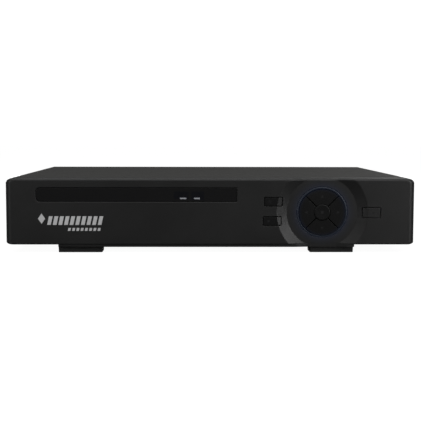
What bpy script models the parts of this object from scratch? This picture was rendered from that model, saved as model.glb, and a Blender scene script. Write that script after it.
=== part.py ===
"""A compact four-channel video recorder, as the separate pieces it comes apart into.

Units are metres. X runs to the right, Y from the front face to the back, Z up. The origin is on
the floor, midway across the case and midway between the front face and the tips of the rear jacks.
A folded steel tray carries the boards, the disk and the sockets, a folded steel cover closes it,
and a moulded front holds the window, the keys and the ring that lights the keypad.
"""

import math

import bmesh
import bpy
from mathutils import Matrix, Vector

# Driving dimensions
WIDTH = 0.300
HEIGHT = 0.055
CASE_DEPTH = 0.227
JACK_REACH = 0.013
SHEET = 0.001
GAP = 0.0003

# Places along Y: the front face, the back of the moulded front, the rear panel's outer face
FRONT = -(CASE_DEPTH + JACK_REACH) / 2
BACK = FRONT + CASE_DEPTH
BEZEL_DEPTH = 0.0157
CASE_FRONT = FRONT + BEZEL_DEPTH + GAP
PANEL_INSIDE = BACK - SHEET - GAP

# Heights
FOOT_HEIGHT = 0.0041
PAN_UNDERSIDE = FOOT_HEIGHT + GAP
PAN_TOP = PAN_UNDERSIDE + SHEET
BEZEL_UNDERSIDE = 0.0063
FLOOR_UNDERSIDE = 0.0070
FLOOR_TOP = FLOOR_UNDERSIDE + SHEET
COVER_TOP = HEIGHT - 0.0002
PANEL_TOP = COVER_TOP - SHEET - GAP

# Widths: the cover is a little narrower than the moulded front, and the tray sits inside it
COVER_HALF = 0.1478
TRAY_HALF = COVER_HALF - SHEET - GAP
PAN_LEFT, PAN_RIGHT = -0.112, 0.106

# The moulded front and the round dish in it
BEZEL_WALL = 0.0025
TOP_CORNER = 0.0045
BOTTOM_CORNER = 0.0018
FRONT_EDGE = 0.0014
RAIL_SETBACK = 0.0012
RAIL_WALL = 0.002
DISH_X, DISH_Z = 0.0819, 0.0300
DISH_RADIUS, DISH_FLOOR_RADIUS, DISH_DEPTH = 0.0337, 0.0261, 0.0026
DISH_BACKING = DISH_DEPTH + BEZEL_WALL
BACKING_RADIUS = DISH_RADIUS + 0.002

# The keypad: a round of four keys about a fifth, inside the ring
RING_OUTER, RING_INNER, RING_FLANGE = 0.0187, 0.0172, 0.0205
RING_PROUD = 0.0004
PAD_RADIUS, PAD_FLANGE, PAD_BORE = 0.0169, 0.0184, 0.0063
PAD_PROUD = 0.0012
OK_RADIUS = 0.0059
OK_PROUD = 0.0016
PAD_SLIT = 0.0006
PAD_DIRECTIONS = {"up": 0, "left": 90, "down": 180, "right": 270}
KEY_CLEARANCE = 0.0004

# The three oblong keys at the dish's edge: centre x, centre z, width, height
OBLONG_KEYS = {
    "function_key_upper": (0.0459, 0.0378, 0.0130, 0.0061),
    "function_key_lower": (0.0450, 0.0236, 0.0130, 0.0061),
    "power_key": (0.1181, 0.0297, 0.0130, 0.0072),
}

# The window: left, right, bottom, top
WINDOW = (-0.1276, 0.0190, 0.0379, 0.0478)
INDICATORS = {"power_led": -0.0202, "record_led": -0.0102}
INDICATOR_Z = 0.0440
RECEIVER_X = 0.0060

# The board behind the keys
FRONT_BOARD_FACE = FRONT + 0.0139
BOARD_THICKNESS = 0.0016
SWITCH_SIDE, SWITCH_HEIGHT = 0.0060, 0.0032
PLUNGER_RADIUS, PLUNGER_HEIGHT = 0.0017, 0.0010
SWITCH_REACH = 0.0115

# Feet: centre x, then how far each foot's near edge is from the front face or from the back
FOOT_WIDTH, FOOT_DEPTH = 0.0325, 0.0140
FOOT_X = {"left": -0.0960, "right": 0.0895}
FOOT_INSET = 0.005
FOOT_TAPER = 0.03

# The main board and what stands at its rear edge: centre x of each socket
MAIN_BOARD = (-0.106, 0.098, FRONT + 0.132, FRONT + 0.2245)
MAIN_BOARD_TOP = PAN_TOP + 0.0060 + BOARD_THICKNESS
JACK_X = (0.0615, 0.0780)
JACK_Z = (0.0222, 0.0387)
JACK_HOLE = 0.0066
AUDIO_X, AUDIO_Z = 0.0400, (0.0205, 0.0345)
VGA_X, VGA_Z = 0.0120, 0.0205
HDMI_X, HDMI_Z = -0.0170, 0.0165
LAN_X, USB_X, POWER_X = -0.0400, -0.0620, -0.0860

# The fan against the rear panel
FAN_X, FAN_Z, FAN_SIDE, FAN_THICKNESS = 0.1225, 0.0300, 0.040, 0.010
FAN_BORE, ROTOR_TIP, HUB_RADIUS, BLADES = 0.0188, 0.0178, 0.0090, 7

# The disk: left, right, front, back, and its underside on four pads
DISK = (-0.120, 0.027, FRONT + 0.026, FRONT + 0.1276)
DISK_UNDERSIDE, DISK_HEIGHT, DISK_LID = PAN_TOP + 0.003, 0.0261, 0.0012
DISK_WALL, CHAMBER_FLOOR = 0.003, DISK_UNDERSIDE + 0.0075
SPINDLE = (DISK[0] + 0.051, (DISK[2] + DISK[3]) / 2)
PLATTER_RADIUS, PLATTER_THICKNESS, PLATTER_HEIGHTS = 0.0465, 0.0012, (0.0030, 0.0080)
ARM_PIVOT = (0.001, DISK[2] + 0.023)
ARM_LENGTH, ARM_ANGLE = 0.052, 195

# Slots in the cover's sides
VENT_ROWS = (0.0230, 0.0370)
VENT_COUNT, VENT_PITCH, VENT_WIDTH, VENT_TALL = 12, 0.0075, 0.0028, 0.0100
VENT_START = FRONT + 0.070

# Faces that meet at more than this many degrees keep a crisp edge: the dish's cone does, to the face
SHARP_ANGLE = 18

# Screws
HEAD_RADIUS, HEAD_HEIGHT, SHANK_RADIUS, HOLE_RADIUS = 0.0028, 0.0016, 0.0013, 0.0017
SIDE_SCREW_Y = {"front": FRONT + 0.040, "rear": FRONT + 0.200}
SIDE_SCREW_Z = 0.0130
BACK_SCREW_X, BACK_SCREW_Z = 0.0955, 0.0500
LIP_BOTTOM = 0.0455

X, Y, Z = Vector((1, 0, 0)), Vector((0, 1, 0)), Vector((0, 0, 1))

PARTS = bpy.data.collections.new("video_recorder")
CUTTERS = bpy.data.collections.new("cutters")


# ---------------------------------------------------------------- helpers


def clear_scene():
    for item in list(bpy.data.objects):
        bpy.data.objects.remove(item)
    for collection in (PARTS, CUTTERS):
        bpy.context.scene.collection.children.link(collection)
    CUTTERS.hide_render = True


def material(name, colour, roughness, metallic=0.0):
    made = bpy.data.materials.get(name)
    if made is None:
        made = bpy.data.materials.new(name)
        made.use_nodes = True
        shader = made.node_tree.nodes["Principled BSDF"]
        shader.inputs["Base Color"].default_value = (*colour, 1.0)
        shader.inputs["Roughness"].default_value = roughness
        shader.inputs["Metallic"].default_value = metallic
    return made


def painted_steel():
    return material("black_painted_steel", (0.020, 0.020, 0.020), 0.55, 0.0)


def black_plastic():
    return material("black_satin_plastic", (0.012, 0.012, 0.012), 0.40)


def key_plastic():
    return material("black_gloss_plastic", (0.006, 0.006, 0.006), 0.25)


def steel():
    return material("bright_steel", (0.62, 0.62, 0.60), 0.30, 1.0)


def nickel():
    return material("nickel_plate", (0.70, 0.68, 0.64), 0.25, 1.0)


def board_green():
    return material("green_circuit_board", (0.010, 0.090, 0.035), 0.45)


def box(low, high):
    """A box between two corners."""
    low, high = Vector(low), Vector(high)
    place = Matrix.Translation((low + high) / 2) @ Matrix.Diagonal((*(high - low), 1))
    return lambda mesh: bmesh.ops.create_cube(mesh, size=1, matrix=place)


def rod(start, along, radius, length, segments=24, end_radius=None):
    """A round bar, or a cone if end_radius is given, from start for length in the direction along."""
    turn = Z.rotation_difference(along).to_matrix().to_4x4()
    place = Matrix.Translation(Vector(start) + along * length / 2) @ turn
    return lambda mesh: bmesh.ops.create_cone(
        mesh,
        cap_ends=True,
        segments=segments,
        radius1=radius,
        radius2=radius if end_radius is None else end_radius,
        depth=length,
        matrix=place,
    )


def dome(centre, radius):
    place = Matrix.Translation(Vector(centre))
    return lambda mesh: bmesh.ops.create_uvsphere(
        mesh, u_segments=12, v_segments=8, radius=radius, matrix=place
    )


def turned(add, centre, degrees):
    """The same shape, turned about an upright axis through centre."""

    def build(mesh):
        before = set(mesh.verts)
        add(mesh)
        new = [v for v in mesh.verts if v not in before]
        turn = Matrix.Rotation(math.radians(degrees), 3, "Z")
        bmesh.ops.rotate(mesh, verts=new, cent=Vector(centre), matrix=turn)

    return build


def shape(name, collection, shapes, origin=(0, 0, 0)):
    """An object of the given shapes, which are laid out in world places, with its origin at origin."""
    mesh = bpy.data.meshes.new(name)
    build = bmesh.new()
    for add in shapes:
        add(build)
    bmesh.ops.translate(build, verts=build.verts, vec=-Vector(origin))
    build.to_mesh(mesh)
    build.free()
    made = bpy.data.objects.new(name, mesh)
    made.location = origin
    collection.objects.link(made)
    return made


def part(name, finish, *shapes, origin=(0, 0, 0)):
    made = shape(name, PARTS, shapes, origin)
    made.data.materials.append(finish)
    return made


def boolean(target, operation, tool):
    modifier = target.modifiers.new(tool.name, "BOOLEAN")
    modifier.operation = operation
    modifier.solver = "EXACT"
    modifier.object = tool


def helper(target, name, shapes):
    tool = shape(f"{target.name}_{name}", CUTTERS, shapes)
    tool.hide_render = True
    tool.display_type = "WIRE"
    return tool


def cut(target, name, *shapes):
    """Takes the shapes, which don't overlap each other, away from target."""
    tool = helper(target, name, shapes)
    boolean(target, "DIFFERENCE", tool)
    return tool


def join(target, name, *shapes):
    """Adds the shapes, each of which overlaps target but no other one, to target."""
    for index, one in enumerate(shapes):
        boolean(target, "UNION", helper(target, f"{name}_{index}", [one]))


def keep(target, name, tool):
    tool.name = f"{target.name}_{name}"
    boolean(target, "INTERSECT", tool)


def smooth(*made):
    for item in made:
        item.data.shade_smooth()
        item.data.set_sharp_from_angle(angle=math.radians(SHARP_ANGLE))


def depth(distance):
    """The Y of a plane that lies distance behind the front face."""
    return FRONT + distance


# ---------------------------------------------------------------- case


def socket_holes():
    """The rear panel's cut-outs, one shape for each socket, screw or slot."""
    start, through = BACK - 2 * SHEET, 4 * SHEET

    def opening(x, z, width, height):
        half_width, half_height = width / 2, height / 2
        return box(
            (x - half_width, start, z - half_height),
            (x + half_width, start + through, z + half_height),
        )

    def hole(x, z, radius, segments=20):
        return rod((x, start, z), Y, radius, through, segments)

    holes = [hole(x, z, JACK_HOLE) for x in JACK_X for z in JACK_Z]
    holes += [hole(AUDIO_X, z, 0.0047, 16) for z in AUDIO_Z]
    holes.append(opening(VGA_X, VGA_Z, 0.0185, 0.0100))
    holes += [hole(VGA_X + side * 0.0125, VGA_Z, 0.0018, 10) for side in (-1, 1)]
    holes.append(opening(HDMI_X, HDMI_Z, 0.0160, 0.0066))
    holes.append(opening(LAN_X, MAIN_BOARD_TOP + 0.0072, 0.0170, 0.0142))
    holes.append(opening(USB_X, MAIN_BOARD_TOP + 0.0084, 0.0148, 0.0168))
    holes.append(opening(POWER_X, MAIN_BOARD_TOP + 0.0060, 0.0102, 0.0120))
    holes += [hole(side * BACK_SCREW_X, BACK_SCREW_Z, HOLE_RADIUS, 12) for side in (-1, 1)]
    for row in range(-3, 4):
        drop = row * 0.005
        half = math.sqrt(0.0180**2 - drop**2) - 0.001
        holes.append(opening(FAN_X, FAN_Z + drop, 2 * half, 0.0030))
    return holes


def base_tray():
    """Floor with a pressed pan, low side flanges, a front flange and the full-height rear panel."""
    tray = part(
        "base_tray",
        painted_steel(),
        box((-TRAY_HALF, CASE_FRONT, FLOOR_UNDERSIDE), (TRAY_HALF, BACK, PANEL_TOP)),
    )
    join(
        tray,
        "pan",
        box((PAN_LEFT, CASE_FRONT, PAN_UNDERSIDE), (PAN_RIGHT, BACK, FLOOR_TOP)),
    )
    inner_half = TRAY_HALF - SHEET
    inner_front, inner_back = CASE_FRONT + SHEET, BACK - SHEET
    cut(
        tray,
        "inside",
        box((-inner_half, inner_front, FLOOR_TOP), (inner_half, inner_back, HEIGHT)),
    )
    cut(
        tray,
        "pan_inside",
        box(
            (PAN_LEFT + SHEET, inner_front, PAN_TOP),
            (PAN_RIGHT - SHEET, inner_back, FLOOR_TOP + 0.002),
        ),
    )
    above_sides = FLOOR_TOP + 0.0120
    cut(
        tray,
        "sides",
        *[
            box(
                (side * (TRAY_HALF + 0.001) - 0.003, CASE_FRONT - 0.001, above_sides),
                (side * (TRAY_HALF + 0.001) + 0.003, inner_back - 0.001, HEIGHT),
            )
            for side in (-1, 1)
        ],
    )
    cut(
        tray,
        "front",
        box((-0.2, CASE_FRONT - 0.002, 0.0300), (0.2, CASE_FRONT + 0.002, HEIGHT)),
    )
    cut(tray, "sockets", *socket_holes())
    cut(
        tray,
        "screw_holes",
        *[rod((-0.2, y, SIDE_SCREW_Z), X, HOLE_RADIUS, 0.4, 12) for y in SIDE_SCREW_Y.values()],
    )
    board_left, board_right, board_front, board_back = MAIN_BOARD
    posts = [
        (x, y, MAIN_BOARD_TOP - BOARD_THICKNESS - GAP)
        for x in (board_left + 0.006, board_right - 0.012)
        for y in (board_front + 0.006, board_back - 0.030)
    ]
    posts += [
        (x, y, DISK_UNDERSIDE - GAP)
        for x in (DISK[0] + 0.030, DISK[1] - 0.040)
        for y in (DISK[2] + 0.004, DISK[3] - 0.004)
    ]
    root = PAN_TOP - SHEET / 2
    join(tray, "posts", *[rod((x, y, root), Z, 0.0028, top - root, 10) for x, y, top in posts])
    return tray


def top_cover():
    """An inverted U with slotted sides and a lip that hangs over the rear panel."""
    lip_inside = BACK + GAP
    cover = part(
        "top_cover",
        painted_steel(),
        box(
            (-COVER_HALF, CASE_FRONT, FLOOR_UNDERSIDE),
            (COVER_HALF, lip_inside + SHEET, COVER_TOP),
        ),
    )
    inner_half = COVER_HALF - SHEET
    cut(
        cover,
        "inside",
        box((-inner_half, CASE_FRONT - 0.01, 0), (inner_half, lip_inside, COVER_TOP - SHEET)),
    )
    cut(
        cover,
        "below_lip",
        box((-0.2, BACK - SHEET / 2, 0), (0.2, BACK + 0.01, LIP_BOTTOM)),
    )
    cut(
        cover,
        "vents",
        *[
            box(
                (-0.2, VENT_START + column * VENT_PITCH, row - VENT_TALL / 2),
                (0.2, VENT_START + column * VENT_PITCH + VENT_WIDTH, row + VENT_TALL / 2),
            )
            for row in VENT_ROWS
            for column in range(VENT_COUNT)
        ],
    )
    cut(
        cover,
        "screw_holes",
        *[rod((-0.2, y, SIDE_SCREW_Z), X, HOLE_RADIUS, 0.4, 12) for y in SIDE_SCREW_Y.values()],
        *[
            rod((side * BACK_SCREW_X, BACK - 0.0005, BACK_SCREW_Z), Y, HOLE_RADIUS, 0.01, 12)
            for side in (-1, 1)
        ],
    )
    return cover


def screws():
    """Pan-head screws: two in each side of the cover and two through its rear lip."""
    made = []

    def screw(name, seat, inward):
        head = rod(seat, -inward, HEAD_RADIUS, HEAD_HEIGHT, 16, HEAD_RADIUS * 0.75)
        made.append(part(name, steel(), head, origin=seat))
        shank = rod(seat - inward * HEAD_HEIGHT / 2, inward, SHANK_RADIUS, 0.0058, 10)
        join(made[-1], "shank", shank)

    for side, sign in (("left", -1), ("right", 1)):
        for end, y in SIDE_SCREW_Y.items():
            seat = Vector((sign * (COVER_HALF + GAP), y, SIDE_SCREW_Z))
            screw(f"cover_screw_{side}_{end}", seat, -sign * X)
        seat = Vector((sign * BACK_SCREW_X, BACK + 2 * GAP + SHEET, BACK_SCREW_Z))
        screw(f"cover_screw_back_{side}", seat, -Y)
    return made


def feet():
    rubber = material("black_rubber", (0.010, 0.010, 0.010), 0.80)
    inset = FOOT_INSET + FOOT_DEPTH / 2
    places = {"front": FRONT + inset, "rear": BACK - inset}
    to_corner = math.sqrt(0.5)
    for end, y in places.items():
        for side, x in FOOT_X.items():
            foot = part(f"foot_{end}_{side}", rubber, origin=(x, y, FOOT_HEIGHT))
            build = bmesh.new()
            bmesh.ops.create_cone(
                build,
                cap_ends=True,
                segments=4,
                radius1=(1 - FOOT_TAPER) * to_corner,
                radius2=to_corner,
                depth=1,
                matrix=Matrix.Diagonal((FOOT_WIDTH, FOOT_DEPTH, FOOT_HEIGHT, 1))
                @ Matrix.Translation(-Z / 2)
                @ Matrix.Rotation(math.radians(45), 4, "Z"),
            )
            build.to_mesh(foot.data)
            build.free()
            cut(foot, "recess", rod((x, y, -0.001), Z, 0.0040, 0.0033, 16))


# ---------------------------------------------------------------- moulded front


def dish_cutter():
    """The hollow of the dish: a cone that narrows to its floor, started just in front of the face."""
    ahead = 0.0005
    slope = (DISH_RADIUS - DISH_FLOOR_RADIUS) / DISH_DEPTH
    return rod(
        (DISH_X, FRONT - ahead, DISH_Z),
        Y,
        DISH_RADIUS + slope * ahead,
        DISH_DEPTH + ahead,
        72,
        DISH_FLOOR_RADIUS,
    )


def rounded_block():
    """The moulded front's outline, with rounded corners and a rounded edge round its face."""
    half = WIDTH / 2

    def build(mesh):
        before = set(mesh.verts)
        box((-half, FRONT, BEZEL_UNDERSIDE), (half, FRONT + BEZEL_DEPTH, HEIGHT))(mesh)
        new = [v for v in mesh.verts if v not in before]
        edges = {e for v in new for e in v.link_edges}
        along_y = [e for e in edges if abs((e.verts[0].co - e.verts[1].co).y) > 0.001]
        middle = (BEZEL_UNDERSIDE + HEIGHT) / 2
        upper = [e for e in along_y if e.verts[0].co.z > middle]
        lower = [e for e in along_y if e.verts[0].co.z < middle]
        for chosen, radius in ((upper, TOP_CORNER), (lower, BOTTOM_CORNER)):
            bmesh.ops.bevel(
                mesh, geom=chosen, offset=radius, segments=6, profile=0.5, affect="EDGES"
            )
        rim = [
            e
            for e in mesh.edges
            if all(abs(v.co.y - FRONT) < 1e-6 for v in e.verts) and len(e.link_faces) == 2
        ]
        bmesh.ops.bevel(mesh, geom=rim, offset=FRONT_EDGE, segments=6, profile=0.5, affect="EDGES")

    return build


def front_bezel():
    """A shallow shell with the dish, the window, the key openings and the rail between the feet."""
    bezel = part("front_bezel", black_plastic(), rounded_block())
    join(
        bezel,
        "rail",
        box(
            (PAN_LEFT, depth(RAIL_SETBACK), PAN_UNDERSIDE),
            (PAN_RIGHT, depth(BEZEL_DEPTH), BEZEL_UNDERSIDE + 0.0010),
        ),
    )
    inside = cut(
        bezel,
        "inside",
        box(
            (-WIDTH / 2 + BEZEL_WALL, depth(BEZEL_WALL), BEZEL_UNDERSIDE + RAIL_WALL),
            (WIDTH / 2 - BEZEL_WALL, depth(0.03), HEIGHT - RAIL_WALL),
        ),
    )
    backing = helper(
        inside,
        "backing",
        [rod((DISH_X, depth(0.0005), DISH_Z), Y, BACKING_RADIUS, DISH_BACKING - 0.0005, 48)],
    )
    boolean(inside, "DIFFERENCE", backing)
    cut(
        bezel,
        "rail_inside",
        box(
            (PAN_LEFT + RAIL_WALL, depth(DISH_BACKING), PAN_UNDERSIDE + RAIL_WALL),
            (PAN_RIGHT - RAIL_WALL, depth(0.03), BEZEL_UNDERSIDE + 0.0035),
        ),
    )
    cut(bezel, "dish", dish_cutter())
    left, right, bottom, top = WINDOW
    openings = [
        box(
            (left - GAP, depth(-0.01), bottom - GAP),
            (right + GAP, depth(0.01), top + GAP),
        ),
        rod((DISH_X, depth(-0.01), DISH_Z), Y, RING_OUTER + GAP, 0.02, 48),
    ]
    for x, z, width, height in OBLONG_KEYS.values():
        half_width, half_height = width / 2 + KEY_CLEARANCE, height / 2 + KEY_CLEARANCE
        openings.append(
            box(
                (x - half_width, depth(-0.01), z - half_height),
                (x + half_width, depth(0.01), z + half_height),
            )
        )
    cut(bezel, "openings", *openings)
    return bezel


def display_window():
    """A smoked strip that fills its opening, with a flange behind the front's wall."""
    left, right, bottom, top = WINDOW
    smoked = material("smoked_acrylic", (0.004, 0.004, 0.005), 0.08)
    window = part(
        "display_window",
        smoked,
        box((left, depth(0.0003), bottom), (right, depth(0.0034), top)),
        origin=((left + right) / 2, FRONT, (bottom + top) / 2),
    )
    rim = 0.0015
    join(
        window,
        "flange",
        box(
            (left - rim, depth(BEZEL_WALL + GAP), bottom - rim),
            (right + rim, depth(0.0040), top + rim),
        ),
    )


def light_ring():
    centre = Vector((DISH_X, depth(DISH_DEPTH), DISH_Z))
    blue = material("blue_light_guide", (0.020, 0.060, 0.250), 0.30)
    face = centre - Y * RING_PROUD
    ring = part("light_ring", blue, rod(face, Y, RING_OUTER, 0.0036, 48), origin=centre)
    join(ring, "flange", rod((DISH_X, depth(DISH_BACKING + GAP), DISH_Z), Y, RING_FLANGE, 0.0011, 48))
    cut(ring, "bore", rod((DISH_X, depth(0), DISH_Z), Y, RING_INNER, 0.02, 48))


def keypad():
    """Four keys that fill a quarter of the round each, and the fifth in the middle."""
    face = depth(DISH_DEPTH - PAD_PROUD)
    flange_front, flange_back = depth(0.0073), depth(0.0083)
    for name, angle in PAD_DIRECTIONS.items():
        turn = Matrix.Rotation(math.radians(-angle), 4, "Y")
        towards = turn @ Z
        origin = Vector((DISH_X, face, DISH_Z)) + towards * SWITCH_REACH
        key = part(
            f"key_{name}",
            key_plastic(),
            rod((DISH_X, face, DISH_Z), Y, PAD_RADIUS, flange_back - face, 48),
            origin=origin,
        )
        flange = rod((DISH_X, flange_front, DISH_Z), Y, PAD_FLANGE, flange_back - flange_front, 48)
        join(key, "flange", flange)
        cut(key, "bore", rod((DISH_X, depth(0), DISH_Z), Y, PAD_BORE, 0.02, 32))
        side = 2 * PAD_FLANGE
        corner = towards * PAD_SLIT / math.sqrt(2)
        quarter = shape(f"key_{name}_quarter", CUTTERS, [box((0, -0.02, 0), (side, 0.02, side))])
        quarter.hide_render = True
        quarter.display_type = "WIRE"
        quarter.matrix_world = (
            Matrix.Translation(Vector((DISH_X, depth(0.005), DISH_Z)) + corner)
            @ turn
            @ Matrix.Rotation(math.radians(-45), 4, "Y")
        )
        keep(key, "quarter", quarter)
    ok_face = depth(DISH_DEPTH - OK_PROUD)
    part(
        "key_ok",
        key_plastic(),
        rod((DISH_X, ok_face, DISH_Z), Y, OK_RADIUS, depth(0.0084) - ok_face, 32),
        origin=(DISH_X, ok_face, DISH_Z),
    )


def oblong_keys():
    """Keys whose faces follow the front's surface across the dish's edge."""
    for name, (x, z, width, height) in OBLONG_KEYS.items():
        half_width, half_height = width / 2, height / 2
        key = part(
            name,
            key_plastic(),
            box(
                (x - half_width, depth(0), z - half_height),
                (x + half_width, depth(0.0072), z + half_height),
            ),
            origin=(x, FRONT, z),
        )
        rim = 0.0010
        join(
            key,
            "flange",
            box(
                (x - half_width - rim, depth(0.0062), z - half_height - rim),
                (x + half_width + rim, depth(0.0070), z + half_height + rim),
            ),
        )
        join(key, "stem", rod((x, depth(0.0065), z), Y, 0.0015, 0.0019, 10))
        cut(key, "dish", dish_cutter())


def switch_places():
    """Centre x and z of the switch behind each key."""
    places = {
        name: (
            DISH_X + SWITCH_REACH * math.sin(math.radians(-angle)),
            DISH_Z + SWITCH_REACH * math.cos(math.radians(angle)),
        )
        for name, angle in PAD_DIRECTIONS.items()
    }
    places["ok"] = (DISH_X, DISH_Z)
    for name, (x, z, _, _) in OBLONG_KEYS.items():
        places[name.replace("function_key_", "").replace("_key", "")] = (x, z)
    return places


def front_board():
    """The keypad's board with its lead socket, eight switches, two indicators and the receiver."""
    board = part(
        "front_board",
        board_green(),
        box(
            (-0.032, FRONT_BOARD_FACE, 0.0100),
            (0.132, FRONT_BOARD_FACE + BOARD_THICKNESS, 0.0500),
        ),
        origin=(0.050, FRONT_BOARD_FACE, 0.0300),
    )
    back = FRONT_BOARD_FACE + BOARD_THICKNESS
    join(board, "lead_socket", box((0.036, back - 0.0005, 0.0390), (0.052, back + 0.0050, 0.0450)))
    grey = material("switch_grey", (0.08, 0.08, 0.08), 0.50)
    body_back = FRONT_BOARD_FACE - GAP
    body_front = body_back - SWITCH_HEIGHT
    half = SWITCH_SIDE / 2
    for name, (x, z) in switch_places().items():
        switch = part(
            f"switch_{name}",
            grey,
            box((x - half, body_front, z - half), (x + half, body_back, z + half)),
            origin=(x, body_back, z),
        )
        plunger = rod(
            (x, body_front - PLUNGER_HEIGHT, z),
            Y,
            PLUNGER_RADIUS,
            PLUNGER_HEIGHT + 0.0005,
            10,
        )
        join(switch, "plunger", plunger)
    blue = material("blue_lens", (0.05, 0.15, 0.60), 0.20)
    for name, x in INDICATORS.items():
        lens = part(
            name,
            blue,
            rod((x, depth(0.0060), INDICATOR_Z), Y, 0.0015, 0.0040, 12),
            origin=(x, body_back, INDICATOR_Z),
        )
        join(
            lens,
            "holder",
            rod((x, depth(0.0095), INDICATOR_Z), Y, 0.0022, body_back - depth(0.0095), 12),
        )
    dark = material("infrared_window", (0.010, 0.006, 0.008), 0.15)
    receiver = part(
        "ir_receiver",
        dark,
        box(
            (RECEIVER_X - 0.003, depth(0.0080), 0.0400),
            (RECEIVER_X + 0.003, body_back, 0.0470),
        ),
        origin=(RECEIVER_X, body_back, 0.0435),
    )
    join(receiver, "dome", dome((RECEIVER_X, depth(0.0080), 0.0435), 0.0022))


# ---------------------------------------------------------------- boards, disk and sockets


def main_board():
    """The main board with its chips, capacitors and the two disk sockets."""
    left, right, front, back = MAIN_BOARD
    base = MAIN_BOARD_TOP - 0.0003
    board = part(
        "main_board",
        board_green(),
        box((left, front, MAIN_BOARD_TOP - BOARD_THICKNESS), (right, back, MAIN_BOARD_TOP)),
        origin=((left + right) / 2, (front + back) / 2, MAIN_BOARD_TOP),
    )
    chips = [
        (-0.012, front + 0.026, 0.0230, 0.0230, 0.0015),
        (0.022, front + 0.020, 0.0110, 0.0130, 0.0013),
        (0.022, front + 0.038, 0.0110, 0.0130, 0.0013),
        (0.070, front + 0.040, 0.0140, 0.0140, 0.0016),
    ]
    join(
        board,
        "chips",
        *[
            box((x - w / 2, y - d / 2, base), (x + w / 2, y + d / 2, MAIN_BOARD_TOP + h))
            for x, y, w, d, h in chips
        ],
    )
    join(
        board,
        "capacitors",
        *[rod((x, front + 0.046, base), Z, 0.0032, 0.0080, 10) for x in (-0.092, -0.083, -0.074)],
    )
    join(board, "data_socket", box((0.046, front + 0.002, base), (0.0555, front + 0.010, 0.0200)))
    join(board, "power_socket", box((0.080, front + 0.002, base), (0.0900, front + 0.008, 0.0210)))


def heat_sink():
    """A square block with sawn fins, on the largest chip."""
    x, y, half = -0.012, MAIN_BOARD[2] + 0.026, 0.014
    bottom = MAIN_BOARD_TOP + 0.0015 + GAP
    sink = part(
        "heat_sink",
        material("black_anodised", (0.03, 0.03, 0.03), 0.45, 0.6),
        box((x - half, y - half, bottom), (x + half, y + half, bottom + 0.010)),
        origin=(x, y, bottom),
    )
    pitch = 2 * half / 7
    cut(
        sink,
        "slots",
        *[
            box(
                (x + (i - 0.28) * pitch, y - 0.02, bottom + 0.003),
                (x + (i + 0.28) * pitch, y + 0.02, bottom + 0.02),
            )
            for i in (-2.5, -1.5, -0.5, 0.5, 1.5, 2.5)
        ],
    )


def board_extras():
    """The coin cell in its ring holder and the buzzer."""
    front = MAIN_BOARD[2]
    cell = Vector((-0.058, front + 0.020, MAIN_BOARD_TOP + GAP))
    part("backup_battery", nickel(), rod(cell, Z, 0.0100, 0.0042, 20), origin=cell)
    place = Vector((-0.085, front + 0.022, MAIN_BOARD_TOP + GAP))
    buzzer = part("buzzer", black_plastic(), rod(place, Z, 0.0060, 0.0085, 16), origin=place)
    cut(buzzer, "sound_hole", rod(place + Z * 0.0060, Z, 0.0011, 0.0060, 8))


def jacks():
    """Four bayonet video jacks, each a barrel round an insulator, held in one moulded block."""
    half, front = 0.0085, PANEL_INSIDE - 0.0150
    block = part(
        "bnc_housing",
        black_plastic(),
        box(
            (JACK_X[0] - half, front, MAIN_BOARD_TOP + GAP),
            (JACK_X[1] + half, PANEL_INSIDE - 0.0012, JACK_Z[1] + half),
        ),
        origin=(sum(JACK_X) / 2, PANEL_INSIDE, MAIN_BOARD_TOP),
    )
    seat = PANEL_INSIDE - 0.0080
    places = [(x, z) for z in reversed(JACK_Z) for x in reversed(JACK_X)]
    cut(block, "seats", *[rod((x, seat, z), Y, 0.0048 + GAP, 0.02, 20) for x, z in places])
    tip = BACK + JACK_REACH
    for number, (x, z) in enumerate(places, 1):
        back = seat + GAP
        jack = part(
            f"bnc_jack_{number}",
            nickel(),
            rod((x, back, z), Y, 0.0048, tip - back, 24),
            origin=(x, BACK, z),
        )
        join(jack, "collar", rod((x, PANEL_INSIDE - 0.0009, z), Y, 0.0062, 0.0040, 24))
        mouth = 0.0100
        hollow = cut(jack, "mouth", rod((x, tip - mouth, z), Y, 0.00405, 0.02, 20))
        insulator = helper(hollow, "insulator", [rod((x, tip - 0.012, z), Y, 0.00245, 0.0110, 16)])
        boolean(hollow, "DIFFERENCE", insulator)
        cut(jack, "contact", rod((x, tip - 0.0080, z), Y, 0.0008, 0.02, 8))
        lug_y = tip - 0.0045
        join(
            jack,
            "lugs",
            *[rod((x + side * 0.0044, lug_y, z), side * X, 0.0010, 0.0015, 8) for side in (-1, 1)],
        )


def audio_jacks():
    """Two phono jacks, one above the other, in one moulding."""
    block = part(
        "audio_jacks",
        black_plastic(),
        box(
            (AUDIO_X - 0.0055, PANEL_INSIDE - 0.0120, MAIN_BOARD_TOP + GAP),
            (AUDIO_X + 0.0055, PANEL_INSIDE, AUDIO_Z[1] + 0.0065),
        ),
        origin=(AUDIO_X, PANEL_INSIDE, MAIN_BOARD_TOP),
    )
    root = PANEL_INSIDE - 0.001
    reach = BACK + 0.0090 - root
    join(block, "barrels", *[rod((AUDIO_X, root, z), Y, 0.0042, reach, 20) for z in AUDIO_Z])
    cut(block, "holes", *[rod((AUDIO_X, BACK - 0.002, z), Y, 0.0017, 0.02, 12) for z in AUDIO_Z])


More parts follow.
